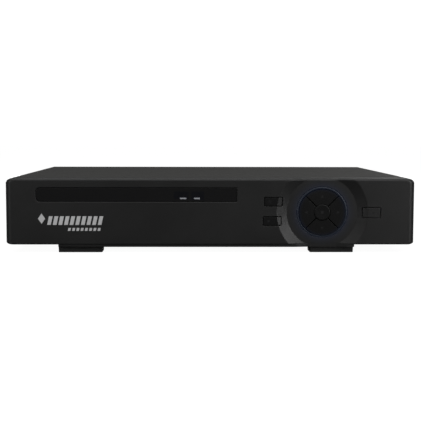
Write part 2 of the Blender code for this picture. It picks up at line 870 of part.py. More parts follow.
def vga_port():
    """A D-shaped shell between two hexagonal posts."""
    block = part(
        "vga_port",
        nickel(),
        box(
            (VGA_X - 0.0155, PANEL_INSIDE - 0.0100, MAIN_BOARD_TOP + GAP),
            (VGA_X + 0.0155, PANEL_INSIDE, VGA_Z + 0.0062),
        ),
        origin=(VGA_X, PANEL_INSIDE, VGA_Z),
    )
    half_width, half_height, narrowing = 0.0081, 0.0040, 0.0014

    def d_shell(mesh):
        before = set(mesh.verts)
        box(
            (VGA_X - half_width, PANEL_INSIDE - 0.001, VGA_Z - half_height),
            (VGA_X + half_width, BACK + 0.0055, VGA_Z + half_height),
        )(mesh)
        new = [v for v in mesh.verts if v not in before]
        for vertex in new:
            if vertex.co.z < VGA_Z:
                vertex.co.x -= math.copysign(narrowing, vertex.co.x - VGA_X)
        edges = {e for v in new for e in v.link_edges}
        along_y = [e for e in edges if abs((e.verts[0].co - e.verts[1].co).y) > 0.001]
        bmesh.ops.bevel(
            mesh, geom=along_y, offset=0.0015, segments=3, profile=0.5, affect="EDGES"
        )

    join(block, "shell", d_shell)
    for side in (-1, 1):
        x = VGA_X + side * 0.0125
        post = [rod((x, PANEL_INSIDE - 0.001, VGA_Z), Y, 0.0013, 0.0050, 8)]
        head = [rod((x, BACK + GAP, VGA_Z), Y, 0.0027, 0.0048, 6)]
        join(block, f"post_{side}", *post, *head)
        cut(block, f"thread_{side}", rod((x, BACK + 0.0028, VGA_Z), Y, 0.0012, 0.01, 8))


def hollow_socket(name, finish, low, high, wall, hollow_depth):
    """A box whose rear face is open, for a socket's shell."""
    low, high = Vector(low), Vector(high)
    block = part(name, finish, box(low, high), origin=((low.x + high.x) / 2, PANEL_INSIDE, low.z))
    cut(
        block,
        "hollow",
        box(
            (low.x + wall, high.y - hollow_depth, low.z + wall),
            (high.x - wall, high.y + 0.01, high.z - wall),
        ),
    )
    return block


def digital_sockets():
    """The screen, network and serial-bus sockets."""
    foot = MAIN_BOARD_TOP + GAP
    hdmi = hollow_socket(
        "hdmi_port",
        nickel(),
        (HDMI_X - 0.0075, PANEL_INSIDE - 0.0100, HDMI_Z - 0.0028),
        (HDMI_X + 0.0075, BACK + 0.0010, HDMI_Z + 0.0028),
        0.0005,
        0.0090,
    )
    join(
        hdmi,
        "tongue",
        box(
            (HDMI_X - 0.0056, BACK - 0.0090, HDMI_Z + 0.0001),
            (HDMI_X + 0.0056, BACK - 0.0008, HDMI_Z + 0.0012),
        ),
    )
    lan = part(
        "lan_port",
        nickel(),
        box((LAN_X - 0.0080, BACK - 0.0170, foot), (LAN_X + 0.0080, BACK + 0.0010, foot + 0.0135)),
        origin=(LAN_X, PANEL_INSIDE, foot),
    )
    cut(
        lan,
        "plug_space",
        box((LAN_X - 0.0059, BACK - 0.0110, foot + 0.0040), (LAN_X + 0.0059, BACK + 0.01, foot + 0.0115)),
    )
    cut(
        lan,
        "latch_space",
        box((LAN_X - 0.0030, BACK - 0.0060, foot + 0.0018), (LAN_X + 0.0030, BACK + 0.01, foot + 0.0050)),
    )
    usb = part(
        "usb_port",
        nickel(),
        box((USB_X - 0.0069, BACK - 0.0160, foot), (USB_X + 0.0069, BACK + 0.0012, foot + 0.0160)),
        origin=(USB_X, PANEL_INSIDE, foot),
    )
    for level in (0.0042, 0.0118):
        z = foot + level
        cut(
            usb,
            f"slot_{level}",
            box((USB_X - 0.0062, BACK - 0.0120, z - 0.0026), (USB_X + 0.0062, BACK + 0.01, z + 0.0026)),
        )
        join(
            usb,
            f"tongue_{level}",
            box(
                (USB_X - 0.0055, BACK - 0.0125, z + 0.0003),
                (USB_X + 0.0055, BACK - 0.0005, z + 0.0019),
            ),
        )
    power = part(
        "power_jack",
        black_plastic(),
        box((POWER_X - 0.0045, BACK - 0.0140, foot), (POWER_X + 0.0045, BACK + 0.0008, foot + 0.0110)),
        origin=(POWER_X, PANEL_INSIDE, foot),
    )
    z = foot + 0.0064
    cut(power, "bore", rod((POWER_X, BACK - 0.0090, z), Y, 0.0032, 0.02, 20))
    join(power, "pin", rod((POWER_X, BACK - 0.0095, z), Y, 0.0011, 0.0088, 10))


def fan():
    """A small axial fan: the frame with four arms behind it, and the rotor on the fan's axis."""
    rear = PANEL_INSIDE
    front = rear - FAN_THICKNESS
    half = FAN_SIDE / 2
    centre = Vector((FAN_X, front, FAN_Z))
    plastic = material("fan_black", (0.015, 0.015, 0.015), 0.45)
    frame = part(
        "fan_frame",
        plastic,
        box((FAN_X - half, front, FAN_Z - half), (FAN_X + half, rear, FAN_Z + half)),
        origin=centre,
    )
    arm_depth = 0.0014
    bore = cut(frame, "bore", rod(centre - Y * 0.001, Y, FAN_BORE, FAN_THICKNESS + 0.002, 40))
    spider = helper(bore, "hub_mount", [rod(centre - Y * 0.002, Y, HUB_RADIUS, arm_depth + 0.002, 24)])
    boolean(bore, "DIFFERENCE", spider)
    for index, axis in enumerate((X, Z)):
        across = Z if axis == X else X
        reach = axis * 0.03
        wide = across * 0.0012
        low = centre - reach - wide - Y * 0.002
        high = centre + reach + wide + Y * arm_depth
        boolean(bore, "DIFFERENCE", helper(bore, f"arm_{index}", [box(low, high)]))
    corner = half - 0.004
    cut(
        frame,
        "screw_holes",
        *[
            rod((FAN_X + a * corner, front - 0.001, FAN_Z + b * corner), Y, 0.0017, 0.012, 8)
            for a in (-1, 1)
            for b in (-1, 1)
        ],
    )
    start = centre + Y * (arm_depth + 0.0006)
    rotor_depth = FAN_THICKNESS - arm_depth - 0.0014
    rotor = part("fan_rotor", plastic, rod(start, Y, HUB_RADIUS, rotor_depth, 28), origin=centre)
    for blade in range(BLADES):
        tool = shape(
            f"fan_rotor_blade_{blade}",
            CUTTERS,
            [box((HUB_RADIUS - 0.001, -0.0040, -0.00045), (ROTOR_TIP, 0.0040, 0.00045))],
        )
        tool.hide_render = True
        tool.display_type = "WIRE"
        tool.matrix_world = (
            Matrix.Translation(start + Y * rotor_depth / 2)
            @ Matrix.Rotation(blade * 2 * math.pi / BLADES, 4, "Y")
            @ Matrix.Rotation(math.radians(50), 4, "X")
        )
        boolean(rotor, "UNION", tool)


def hard_drive():
    """A disk of the usual size: the casting, its platters and head arm, and the lid that closes it."""
    left, right, front, back = DISK
    lid_bottom = DISK_UNDERSIDE + DISK_HEIGHT - DISK_LID
    centre = ((left + right) / 2, (front + back) / 2, DISK_UNDERSIDE)
    casting = part(
        "hard_drive",
        material("cast_aluminium", (0.45, 0.45, 0.46), 0.45, 0.9),
        box((left, front, DISK_UNDERSIDE), (right, back, lid_bottom - GAP)),
        origin=centre,
    )
    cut(
        casting,
        "connector_bay",
        box((right - 0.004, front + 0.030, DISK_UNDERSIDE - 0.001), (right + 0.001, front + 0.075, 0.0150)),
    )
    cut(
        casting,
        "chamber",
        box(
            (left + DISK_WALL, front + DISK_WALL, CHAMBER_FLOOR),
            (right - 2 * DISK_WALL, back - DISK_WALL, lid_bottom + 0.001),
        ),
    )
    mirror = material("polished_platter", (0.75, 0.75, 0.76), 0.08, 1.0)
    bottom = CHAMBER_FLOOR + GAP
    hub = Vector((*SPINDLE, bottom))
    platters = part("disk_platters", mirror, rod(hub, Z, 0.0125, 0.0110, 24), origin=hub)
    join(
        platters,
        "discs",
        *[rod(hub + Z * up, Z, PLATTER_RADIUS, PLATTER_THICKNESS, 48) for up in PLATTER_HEIGHTS],
    )
    pivot = Vector((*ARM_PIVOT, bottom))
    arm = part("head_arm", steel(), rod(pivot, Z, 0.0065, 0.0130, 20), origin=pivot)
    low, high = bottom + 0.0102, bottom + 0.0117
    lever = box(
        (pivot.x + 0.004, pivot.y - 0.003, low),
        (pivot.x + ARM_LENGTH, pivot.y + 0.003, high),
    )
    coil = box(
        (pivot.x - 0.0150, pivot.y - 0.006, low - 0.003),
        (pivot.x - 0.0040, pivot.y + 0.006, high),
    )
    join(arm, "lever", turned(lever, pivot, ARM_ANGLE), turned(coil, pivot, ARM_ANGLE))
    part(
        "hard_drive_lid",
        steel(),
        box((left + 0.001, front + 0.001, lid_bottom), (right - 0.003, back - 0.001, lid_bottom + DISK_LID)),
        origin=(centre[0], centre[1], lid_bottom),
    )


def catmull(points, steps):
    """Points along the smooth curve that passes through the given ones."""
    ends = [points[0] * 2 - points[1], *points, points[-1] * 2 - points[-2]]
    found = []
    for a, b, c, d in zip(ends, ends[1:], ends[2:], ends[3:]):
        for step in range(steps):
            t = step / steps
            found.append(
                0.5 * (2 * b + (c - a) * t + (2 * a - 5 * b + 4 * c - d) * t**2
                       + (3 * b - a - 3 * c + d) * t**3)
            )
    return [*found, points[-1]]


def lead(name, finish, radius, route, steps=3):
    """A round lead along a smooth curve through the route's points."""
    points = catmull([Vector(p) for p in route], steps)
    curve = bpy.data.curves.new(name, "CURVE")
    curve.dimensions = "3D"
    curve.bevel_depth = radius
    curve.bevel_resolution = 2
    curve.use_fill_caps = True
    spline = curve.splines.new("POLY")
    spline.points.add(len(points) - 1)
    origin = points[0]
    for place, point in zip(spline.points, points):
        place.co = (*(point - origin), 1.0)
    made = bpy.data.objects.new(name, curve)
    made.location = origin
    curve.materials.append(finish)
    PARTS.objects.link(made)


def leads():
    """The leads inside the case: disk data and power, keypad and fan."""
    board_front = MAIN_BOARD[2]
    disk_right, disk_front = DISK[1], DISK[2]
    red = material("red_cable", (0.35, 0.01, 0.01), 0.45)
    black = material("black_cable", (0.012, 0.012, 0.012), 0.50)
    grey = material("grey_cable", (0.30, 0.30, 0.30), 0.55)
    lead(
        "sata_data_cable",
        red,
        0.0022,
        [
            (disk_right - 0.0035, disk_front + 0.062, 0.0115),
            (disk_right + 0.008, disk_front + 0.063, 0.0118),
            (disk_right + 0.018, disk_front + 0.075, 0.0150),
            (0.0508, board_front - 0.010, 0.0165),
            (0.0508, board_front + 0.0017, 0.0165),
        ],
    )
    lead(
        "sata_power_cable",
        black,
        0.0024,
        [
            (disk_right - 0.0035, disk_front + 0.042, 0.0115),
            (disk_right + 0.010, disk_front + 0.042, 0.0120),
            (disk_right + 0.036, disk_front + 0.056, 0.0150),
            (0.0830, board_front - 0.018, 0.0170),
            (0.0850, board_front - 0.008, 0.0172),
            (0.0850, board_front + 0.0017, 0.0172),
        ],
    )
    lead(
        "front_ribbon",
        grey,
        0.0020,
        [
            (0.0440, FRONT_BOARD_FACE + 0.0069, 0.0420),
            (0.0440, FRONT_BOARD_FACE + 0.0160, 0.0420),
            (0.0420, FRONT_BOARD_FACE + 0.0600, 0.0400),
            (0.0380, board_front - 0.010, 0.0380),
            (0.0380, board_front + 0.012, 0.0300),
            (0.0380, board_front + 0.018, 0.0200),
            (0.0380, board_front + 0.018, MAIN_BOARD_TOP + GAP),
        ],
    )
    fan_front = PANEL_INSIDE - FAN_THICKNESS
    lead(
        "fan_lead",
        black,
        0.0013,
        [
            (FAN_X - 0.0150, fan_front - GAP, 0.0160),
            (FAN_X - 0.0150, fan_front - 0.010, 0.0160),
            (FAN_X - 0.0220, fan_front - 0.022, 0.0190),
            (0.0910, fan_front - 0.031, 0.0210),
            (0.0900, fan_front - 0.034, MAIN_BOARD_TOP + 0.0050),
            (0.0900, fan_front - 0.034, MAIN_BOARD_TOP + GAP),
        ],
    )


def main():
    clear_scene()
    base_tray()
    top_cover()
    screws()
    feet()
    front_bezel()
    display_window()
    light_ring()
    keypad()
    oblong_keys()
    front_board()
    main_board()
    heat_sink()
    board_extras()
    jacks()
    audio_jacks()
    vga_port()
    digital_sockets()
    fan()
    hard_drive()
    leads()
    smooth(*[item for item in PARTS.objects if item.type == "MESH"])


main()
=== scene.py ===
"""The looks of a compact video recorder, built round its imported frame.

Metres throughout. X runs to the right, Y from the front face to the back, Z up.
Every place comes from the frame's own boxes, so a piece lies where its solid lies.
"""
import math

import bmesh
import bpy
import numpy as np
from mathutils import Matrix, Vector
from mathutils.geometry import delaunay_2d_cdt


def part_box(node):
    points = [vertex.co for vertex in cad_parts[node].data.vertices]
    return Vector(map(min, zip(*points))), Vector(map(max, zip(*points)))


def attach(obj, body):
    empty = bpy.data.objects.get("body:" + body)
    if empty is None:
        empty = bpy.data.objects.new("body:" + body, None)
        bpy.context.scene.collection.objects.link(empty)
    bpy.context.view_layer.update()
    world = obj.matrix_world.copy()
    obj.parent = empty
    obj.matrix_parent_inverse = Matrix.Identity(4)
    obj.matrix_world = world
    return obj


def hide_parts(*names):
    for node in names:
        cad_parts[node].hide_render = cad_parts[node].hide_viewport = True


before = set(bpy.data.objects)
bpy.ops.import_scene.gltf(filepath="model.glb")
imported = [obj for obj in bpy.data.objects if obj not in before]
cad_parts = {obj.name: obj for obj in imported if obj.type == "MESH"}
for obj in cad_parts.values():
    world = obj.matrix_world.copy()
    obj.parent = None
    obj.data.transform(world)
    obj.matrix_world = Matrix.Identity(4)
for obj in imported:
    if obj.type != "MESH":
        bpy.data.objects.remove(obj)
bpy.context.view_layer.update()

MM = 0.001
SCENE = bpy.context.scene
X, Y, Z = Vector((1, 0, 0)), Vector((0, 1, 0)), Vector((0, 0, 1))

# ---------------------------------------------------------------- places, read from the frame

BEZEL_LOW, BEZEL_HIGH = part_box("front_bezel")
COVER_LOW, COVER_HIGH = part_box("top_cover")
RING_LOW, RING_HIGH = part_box("light_ring")
FRONT, BEZEL_BACK = BEZEL_LOW.y, BEZEL_HIGH.y
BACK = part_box("base_tray")[1].y
TOP = BEZEL_HIGH.z
DISH_X = (RING_LOW.x + RING_HIGH.x) / 2
DISH_Z = (RING_LOW.z + RING_HIGH.z) / 2

# The dish: a cone round a flat floor, with softened creases
DISH_OUTER, DISH_INNER, DISH_DEPTH, DISH_SOFT = 33.7 * MM, 26.1 * MM, 2.6 * MM, 0.30 * MM

# ---------------------------------------------------------------- camera, light and floor


def aim(item, target):
    """Turns a camera or a light to look at target, with its top up."""
    item.rotation_euler = (Vector(target) - item.location).to_track_quat("-Z", "Y").to_euler()


def add_camera():
    """A long view from in front of the case and just above it."""
    data = bpy.data.cameras.new("camera")
    data.sensor_width = 36.0
    data.lens = 82.32
    camera = bpy.data.objects.new("camera", data)
    pitch, yaw, roll = math.radians(-4.747), math.radians(1.129), math.radians(0.125)
    forward = Vector(
        (math.sin(yaw) * math.cos(pitch), math.cos(yaw) * math.cos(pitch), math.sin(pitch))
    )
    right = Vector((math.cos(yaw), -math.sin(yaw), 0))
    up = right.cross(forward)
    right, up = (
        math.cos(roll) * right + math.sin(roll) * up,
        math.cos(roll) * up - math.sin(roll) * right,
    )
    turn = Matrix((right, up, -forward)).transposed().to_4x4()
    camera.matrix_world = Matrix.Translation((-14.10 * MM, FRONT - 0.7020, 89.73 * MM)) @ turn
    SCENE.collection.objects.link(camera)
    SCENE.camera = camera


def add_light(name, place, target, size, power, tint=(1.0, 1.0, 1.0)):
    data = bpy.data.lights.new(name, "AREA")
    data.shape = "RECTANGLE"
    data.size, data.size_y = size
    data.energy = power
    data.color = tint
    light = bpy.data.objects.new(name, data)
    light.location = place
    SCENE.collection.objects.link(light)
    aim(light, target)


def add_studio():
    """A pale floor under an even pale sky, both bright to the eye, and soft light from lamps."""
    world = bpy.data.worlds.new("studio")
    world.use_nodes = True
    nodes, links = world.node_tree.nodes, world.node_tree.links
    seen = nodes.new("ShaderNodeLightPath").outputs["Is Camera Ray"]
    toward = nodes.new("ShaderNodeSeparateXYZ")
    links.new(nodes.new("ShaderNodeTexCoord").outputs["Generated"], toward.inputs["Vector"])
    ambient = nodes.new("ShaderNodeMapRange")
    ambient.inputs["From Max"].default_value = 0.6
    ambient.inputs["To Min"].default_value = 0.33
    ambient.inputs["To Max"].default_value = 0.14
    links.new(toward.outputs["Y"], ambient.inputs["Value"])
    strength = nodes.new("ShaderNodeMapRange")
    links.new(ambient.outputs["Result"], strength.inputs["To Min"])
    strength.inputs["To Max"].default_value = 1.05
    links.new(seen, strength.inputs["Value"])
    links.new(strength.outputs["Result"], nodes["Background"].inputs["Strength"])
    nodes["Background"].inputs["Color"].default_value = (1.0, 1.0, 1.0, 1.0)
    SCENE.world = world
    SCENE.view_settings.view_transform = "Standard"
    add_light("softbox_right", (0.66, -0.80, 0.27), (DISH_X, FRONT, DISH_Z), (0.26, 0.50), 2.7)
    add_light("softbox_left", (-0.66, -0.80, 0.20), (DISH_X, FRONT, DISH_Z), (0.26, 0.40), 0.9)
    add_light("softbox_front", (0.0, -0.95, 1.05), (0, FRONT, 0), (1.4, 0.5), 5.5)
    add_light("softbox_top", (0.0, 0.15, 1.1), (0, 0, 0), (1.2, 0.9), 4.4)
    add_light("rim_light_right", (0.55, 1.10, 0.55), (0.05, FRONT, TOP), (0.3, 0.3), 0.8)
    add_light("low_light_behind", (0.0, 1.10, 0.027), (0, BACK, 0.027), (1.4, 0.05), 3.0)
    floor = bpy.data.meshes.new("floor")
    corners = [(x, y, -2e-5) for x, y in ((-5, -5), (5, -5), (5, 5), (-5, 5))]
    floor.from_pydata(corners, [], [(0, 1, 2, 3)])
    sweep = bpy.data.objects.new("floor", floor)
    SCENE.collection.objects.link(sweep)
    paper = bpy.data.materials.new("paper")
    paper.use_nodes = True
    shader = paper.node_tree.nodes["Principled BSDF"]
    shader.inputs["Base Color"].default_value = (0.15, 0.15, 0.15, 1)
    shader.inputs["Roughness"].default_value = 0.9
    shader.inputs["Specular IOR Level"].default_value = 0.0
    shader.inputs["Emission Color"].default_value = (1, 1, 1, 1)
    glow = paper.node_tree.nodes.new("ShaderNodeMath")
    glow.operation = "MULTIPLY"
    glow.inputs[1].default_value = 0.96
    seen = paper.node_tree.nodes.new("ShaderNodeLightPath").outputs["Is Camera Ray"]
    paper.node_tree.links.new(seen, glow.inputs[0])
    paper.node_tree.links.new(glow.outputs[0], shader.inputs["Emission Strength"])
    floor.materials.append(paper)


# ---------------------------------------------------------------- materials


class Graph:
    """A short way to write a material's nodes."""

    def __init__(self, name):
        self.made = bpy.data.materials.new(name)
        self.made.use_nodes = True
        self.tree = self.made.node_tree
        self.shader = self.tree.nodes["Principled BSDF"]
        self.place = self.node("ShaderNodeTexCoord").outputs["Object"]

    def node(self, kind, inputs=(), **settings):
        made = self.tree.nodes.new(kind)
        for key, value in settings.items():
            setattr(made, key, value)
        for key, value in dict(inputs).items():
            if isinstance(value, bpy.types.NodeSocket):
                self.tree.links.new(value, made.inputs[key])
            else:
                made.inputs[key].default_value = value
        return made

    def noise(self, scale, detail=2.0, roughness=0.5, place=None):
        inputs = {
            "Vector": place or self.place,
            "Scale": scale,
            "Detail": detail,
            "Roughness": roughness,
        }
        return self.node("ShaderNodeTexNoise", inputs).outputs["Fac"]

    def spread(self, value, low, high, start=0.3, end=0.7):
        """Maps a value that runs from start to end onto low to high."""
        inputs = {
            "Value": value,
            "From Min": start,
            "From Max": end,
            "To Min": low,
            "To Max": high,
        }
        return self.node("ShaderNodeMapRange", inputs, clamp=True).outputs["Result"]

    def math(self, operation, first, second=0.0):
        return self.node("ShaderNodeMath", {0: first, 1: second}, operation=operation).outputs[0]

    def ring_light(self, strength, low, high, start, end):
        """Painted blue light from the ring: an emission that runs from low to high between two
        radii of the dish.
        """
        across = self.math("SUBTRACT", self.axis("X"), DISH_X)
        along = self.math("SUBTRACT", self.axis("Z"), DISH_Z)
        squares = self.math(
            "ADD", self.math("MULTIPLY", across, across), self.math("MULTIPLY", along, along)
        )
        near = self.spread(self.math("SQRT", squares), low, high, start, end)
        glow = self.math("MULTIPLY", self.math("MULTIPLY", near, near), strength)
        self.connect(emission_color=(0.10, 0.20, 0.62), emission_strength=glow)

    def mix(self, amount, first, second):
        made = self.node("ShaderNodeMix", {"Factor": amount}, data_type="RGBA")
        for socket, value in ((made.inputs[6], first), (made.inputs[7], second)):
            if isinstance(value, bpy.types.NodeSocket):
                self.tree.links.new(value, socket)
            else:
                socket.default_value = (*value, 1.0)
        return made.outputs[2]

    def bump(self, height, strength, distance):
        inputs = {"Height": height, "Strength": strength, "Distance": distance}
        return self.node("ShaderNodeBump", inputs).outputs["Normal"]

    def axis(self, letter):
        return self.node("ShaderNodeSeparateXYZ", {0: self.place}).outputs[letter]

    def connect(self, **inputs):
        for key, value in inputs.items():
            socket = self.shader.inputs[key.replace("_", " ").title().replace("Ior", "IOR")]
            if isinstance(value, bpy.types.NodeSocket):
                self.tree.links.new(value, socket)
            elif isinstance(value, tuple):
                socket.default_value = (*value, 1.0)
            else:
                socket.default_value = value
        return self.made


def key_finish():
    """Matt black key plastic, with a painted glow of the ring's blue light on the keypad's rim."""
    graph = Graph("black_key_plastic")
    fine = graph.noise(3000.0, 3.0, 0.55)
    broad = graph.noise(38.0, 4.0, 0.6)
    tone = graph.mix(graph.spread(broad, 0.0, 1.0), (0.0053,) * 3, (0.0063,) * 3)
    # painted light: an emission on the pads' outer rim stands in for the ring's blue light falling
    # on them
    graph.ring_light(0.012, 0.0, 1.0, 14.0 * MM, 17.2 * MM)
    return graph.connect(
        base_color=tone,
        roughness=graph.spread(broad, 0.32, 0.42),
        specular_ior_level=0.16,
        normal=graph.bump(fine, 0.35, 0.008 * MM),
    )


def surface(
    name,
    colour,
    roughness,
    *,
    metallic=0.0,
    specular=0.5,
    grain=2500.0,
    depth=0.02,
    mottle=0.10,
    uneven=0.06,
    wear=None,
    coat=0.0,
):
    """An opaque finish: fine grain, slightly uneven gloss and colour, and lighter worn edges."""
    graph = Graph(name)
    fine = graph.noise(grain, 3.0, 0.55)
    broad = graph.noise(38.0, 4.0, 0.6)
    low = tuple(c * (1 - mottle) for c in colour)
    high = tuple(min(c * (1 + mottle), 1.0) for c in colour)
    tone = graph.mix(graph.spread(broad, 0.0, 1.0), low, high)
    if wear:
        point = graph.node("ShaderNodeNewGeometry").outputs["Pointiness"]
        edge = graph.spread(point, 0.0, 0.55, 0.53, 0.62)
        patchy = graph.math("MULTIPLY", edge, graph.spread(graph.noise(420.0, 4.0), 0.2, 1.0))
        tone = graph.mix(patchy, tone, wear)
    return graph.connect(
        base_color=tone,
        roughness=graph.spread(broad, roughness - uneven, roughness + uneven),
        metallic=metallic,
        specular_ior_level=specular,
        coat_weight=coat,
        normal=graph.bump(fine, 0.35, depth * MM),
    )


def bezel_finish():
    """Satin black moulding, with a painted glow of the ring's blue light on the dish's floor."""
    graph = Graph("satin_black_moulding")
    fine = graph.noise(3800.0, 2.0, 0.5)
    broad = graph.noise(30.0, 4.0, 0.6)
    tone = graph.mix(graph.spread(broad, 0.0, 1.0), (0.0040,) * 3, (0.0050,) * 3)
    # painted light: an emission on the dish's floor round the ring stands in for the ring's blue
    # light falling on it
    graph.ring_light(0.019, 1.0, 0.0, 18.4 * MM, 25.6 * MM)
    return graph.connect(
        base_color=tone,
        roughness=graph.spread(broad, 0.40, 0.48),
        specular_ior_level=0.44,
        normal=graph.bump(fine, 0.25, 0.012 * MM),
    )


def window_finish(patches):
    """Smoked acrylic, with two faintly blue patches where the lamps stand behind it."""
    graph = Graph("smoked_acrylic")
    broad = graph.noise(55.0, 3.0, 0.6)
    tone = (0.0084, 0.0084, 0.0086)
    for left, right, bottom, top in patches:
        inside = None
        for value, low, high in ((graph.axis("X"), left, right), (graph.axis("Z"), bottom, top)):
            soft = 0.7 * MM
            rise = graph.spread(value, 0.0, 1.0, low, low + soft)
            fall = graph.spread(value, 1.0, 0.0, high - soft, high)
            both = graph.math("MULTIPLY", rise, fall)
            inside = both if inside is None else graph.math("MULTIPLY", inside, both)
        cloudy = graph.math("MULTIPLY", inside, graph.spread(graph.noise(900.0, 3.0), 0.35, 1.0))
        tone = graph.mix(cloudy, tone, (0.0040, 0.0046, 0.0070))
    return graph.connect(
        base_color=tone,
        roughness=graph.spread(broad, 0.16, 0.22),
        specular_ior_level=0.16,
        normal=graph.bump(graph.noise(1400.0, 2.0), 0.10, 0.004 * MM),
    )


def light_guide():
    """Cloudy blue plastic that glows a little, unevenly with its cloud."""
    graph = Graph("blue_light_guide")
    cloud = graph.noise(700.0, 3.0, 0.6)
    tone = graph.mix(cloud, (0.012, 0.0145, 0.022), (0.016, 0.020, 0.031))
    return graph.connect(
        base_color=tone,
        roughness=0.38,
        specular_ior_level=0.25,
        emission_color=(0.23, 0.32, 0.48),
        emission_strength=graph.spread(cloud, 0.008, 0.013),
        normal=graph.bump(cloud, 0.2, 0.02 * MM),
    )


def lamp(name, colour, strength):
    """A printed legend that is lit from behind."""
    graph = Graph(name)
    patch = graph.noise(1600.0, 2.0)
    return graph.connect(
        base_color=tuple(0.2 * c for c in colour),
        roughness=0.4,
        emission_color=colour,
        emission_strength=graph.spread(patch, 0.75 * strength, 1.15 * strength),
        normal=graph.bump(patch, 0.1, 0.01 * MM),
    )


def circuit_board(name, board_top):
    """Green solder mask with faint tracks and pads; whatever stands above board_top is black."""
    graph = Graph(name)
    tracks = graph.node(
        "ShaderNodeTexBrick",
        {
            "Vector": graph.place,
            "Scale": 330.0,
            "Mortar Size": 0.12,
            "Mortar Smooth": 0.2,
            "Brick Width": 1.6,
            "Row Height": 0.42,
        },
    ).outputs["Fac"]
    patch = graph.noise(95.0, 3.0, 0.6)
    tone = graph.mix(graph.spread(patch, 0.0, 1.0), (0.008, 0.070, 0.026), (0.014, 0.105, 0.042))
    tone = graph.mix(graph.math("MULTIPLY", tracks, 0.75), tone, (0.030, 0.180, 0.075))
    pads = graph.node(
        "ShaderNodeTexVoronoi", {"Vector": graph.place, "Scale": 240.0}, feature="F1"
    ).outputs["Distance"]
    tone = graph.mix(graph.spread(pads, 1.0, 0.0, 0.10, 0.14), tone, (0.55, 0.52, 0.44))
    above = graph.spread(graph.axis("Z"), 0.0, 1.0, board_top + 0.02 * MM, board_top + 0.06 * MM)
    tone = graph.mix(above, tone, (0.020, 0.020, 0.022))
    return graph.connect(
        base_color=tone,
        roughness=graph.spread(patch, 0.34, 0.46),
        specular_ior_level=0.5,
        normal=graph.bump(tracks, 0.3, 0.03 * MM),
    )


def brushed(name, colour, roughness, stretch):
    """Drawn or brushed metal, its lines running along one axis."""
    graph = Graph(name)
    scaled = graph.node("ShaderNodeMapping", {"Vector": graph.place, "Scale": stretch}).outputs[0]
    lines = graph.noise(1.0, 4.0, 0.65, scaled)
    low, high = tuple(0.9 * c for c in colour), colour
    return graph.connect(
        base_color=graph.mix(lines, low, high),
        metallic=1.0,
        roughness=graph.spread(lines, roughness - 0.06, roughness + 0.08),
        normal=graph.bump(lines, 0.12, 0.01 * MM),
    )


add_camera()
add_studio()

POWDER = surface(
    "black_powder_coat", (0.0325, 0.0322, 0.0306), 0.66, specular=0.07, grain=1500.0, depth=0.035,
    mottle=0.05, uneven=0.05, wear=(0.075, 0.075, 0.073),
)
BEZEL = bezel_finish()
KEY_DARK = key_finish()
KEY_GLOSS = surface(
    "gloss_key_plastic", (0.0085, 0.0085, 0.0086), 0.24, specular=0.14, grain=1200.0, depth=0.004,
    mottle=0.08, uneven=0.03,
)
RUBBER = surface(
    "black_rubber", (0.0210, 0.0210, 0.0210), 0.80, specular=0.25, grain=1800.0, depth=0.06,
    mottle=0.22, uneven=0.08, wear=(0.028, 0.028, 0.028),
)
PLASTIC = surface(
    "black_connector_plastic", (0.0120, 0.0120, 0.0120), 0.45, specular=0.40, grain=2200.0,
    depth=0.02, mottle=0.15, wear=(0.030, 0.030, 0.030),
)
ZINC = surface(
    "bright_zinc", (0.62, 0.61, 0.58), 0.30, metallic=1.0, grain=1600.0, depth=0.010,
    mottle=0.07, uneven=0.07, wear=(0.78, 0.77, 0.74),
)
NICKEL = surface(
    "nickel_plate", (0.66, 0.64, 0.60), 0.24, metallic=1.0, grain=2400.0, depth=0.006,
    mottle=0.05, uneven=0.06, wear=(0.80, 0.78, 0.74),
)
GOLD = surface(
    "gold_contact", (0.83, 0.58, 0.22), 0.22, metallic=1.0, grain=2600.0, depth=0.004, mottle=0.06
)
WHITE = surface(
    "white_insulator", (0.62, 0.61, 0.57), 0.50, grain=2000.0, depth=0.010, mottle=0.05
)
BLUE = surface(
    "blue_insulator", (0.010, 0.045, 0.300), 0.42, grain=2200.0, depth=0.010, mottle=0.10
)
YELLOW = surface(
    "yellow_insulator", (0.620, 0.420, 0.020), 0.42, grain=2200.0, depth=0.010, mottle=0.06
)
RED = surface("red_jacket", (0.300, 0.012, 0.010), 0.40, grain=2200.0, depth=0.010, mottle=0.10)
GREY = surface("grey_jacket", (0.240, 0.240, 0.240), 0.55, grain=1400.0, depth=0.020, mottle=0.08)
BLACK = surface("black_jacket", (0.010, 0.010, 0.010), 0.48, grain=1800.0, depth=0.015, mottle=0.15)
CASTING = surface(
    "cast_aluminium", (0.40, 0.40, 0.41), 0.48, metallic=0.9, grain=900.0, depth=0.05,
    mottle=0.08, uneven=0.08, wear=(0.58, 0.58, 0.59),
)
LID = brushed("brushed_lid", (0.62, 0.62, 0.63), 0.30, (40.0, 3200.0, 40.0))
PLATTER = surface(
    "polished_platter", (0.74, 0.74, 0.75), 0.09, metallic=1.0, grain=300.0, depth=0.001,
    mottle=0.02, uneven=0.02,
)
ANODISED = surface(
    "black_anodised", (0.020, 0.020, 0.022), 0.42, metallic=0.5, grain=1200.0, depth=0.03,
    mottle=0.12, wear=(0.110, 0.110, 0.112),
)
INK = surface(
    "silver_ink", (0.560, 0.560, 0.565), 0.38, metallic=0.15, grain=2600.0, depth=0.010,
    mottle=0.06, uneven=0.06,
)
FAINT_INK = surface(
    "grey_ink", (0.0115, 0.0115, 0.0120), 0.45, specular=0.2, grain=2600.0, depth=0.006, mottle=0.10
)
SWITCH = surface("switch_body", (0.045, 0.045, 0.047), 0.45, grain=2000.0, depth=0.02, mottle=0.12)
FILTER = surface(
    "infrared_filter", (0.010, 0.004, 0.006), 0.12, grain=1500.0, depth=0.003, mottle=0.10,
    uneven=0.04,
)
LENS = surface("blue_lens", (0.030, 0.090, 0.450), 0.20, grain=1500.0, depth=0.004, mottle=0.10)

# ---------------------------------------------------------------- shells
# A shell is (points, faces, finish) or (points, faces, list of a finish for each face).


def facing_front(u, v, d):
    return np.stack([u, FRONT + d, v], -1)


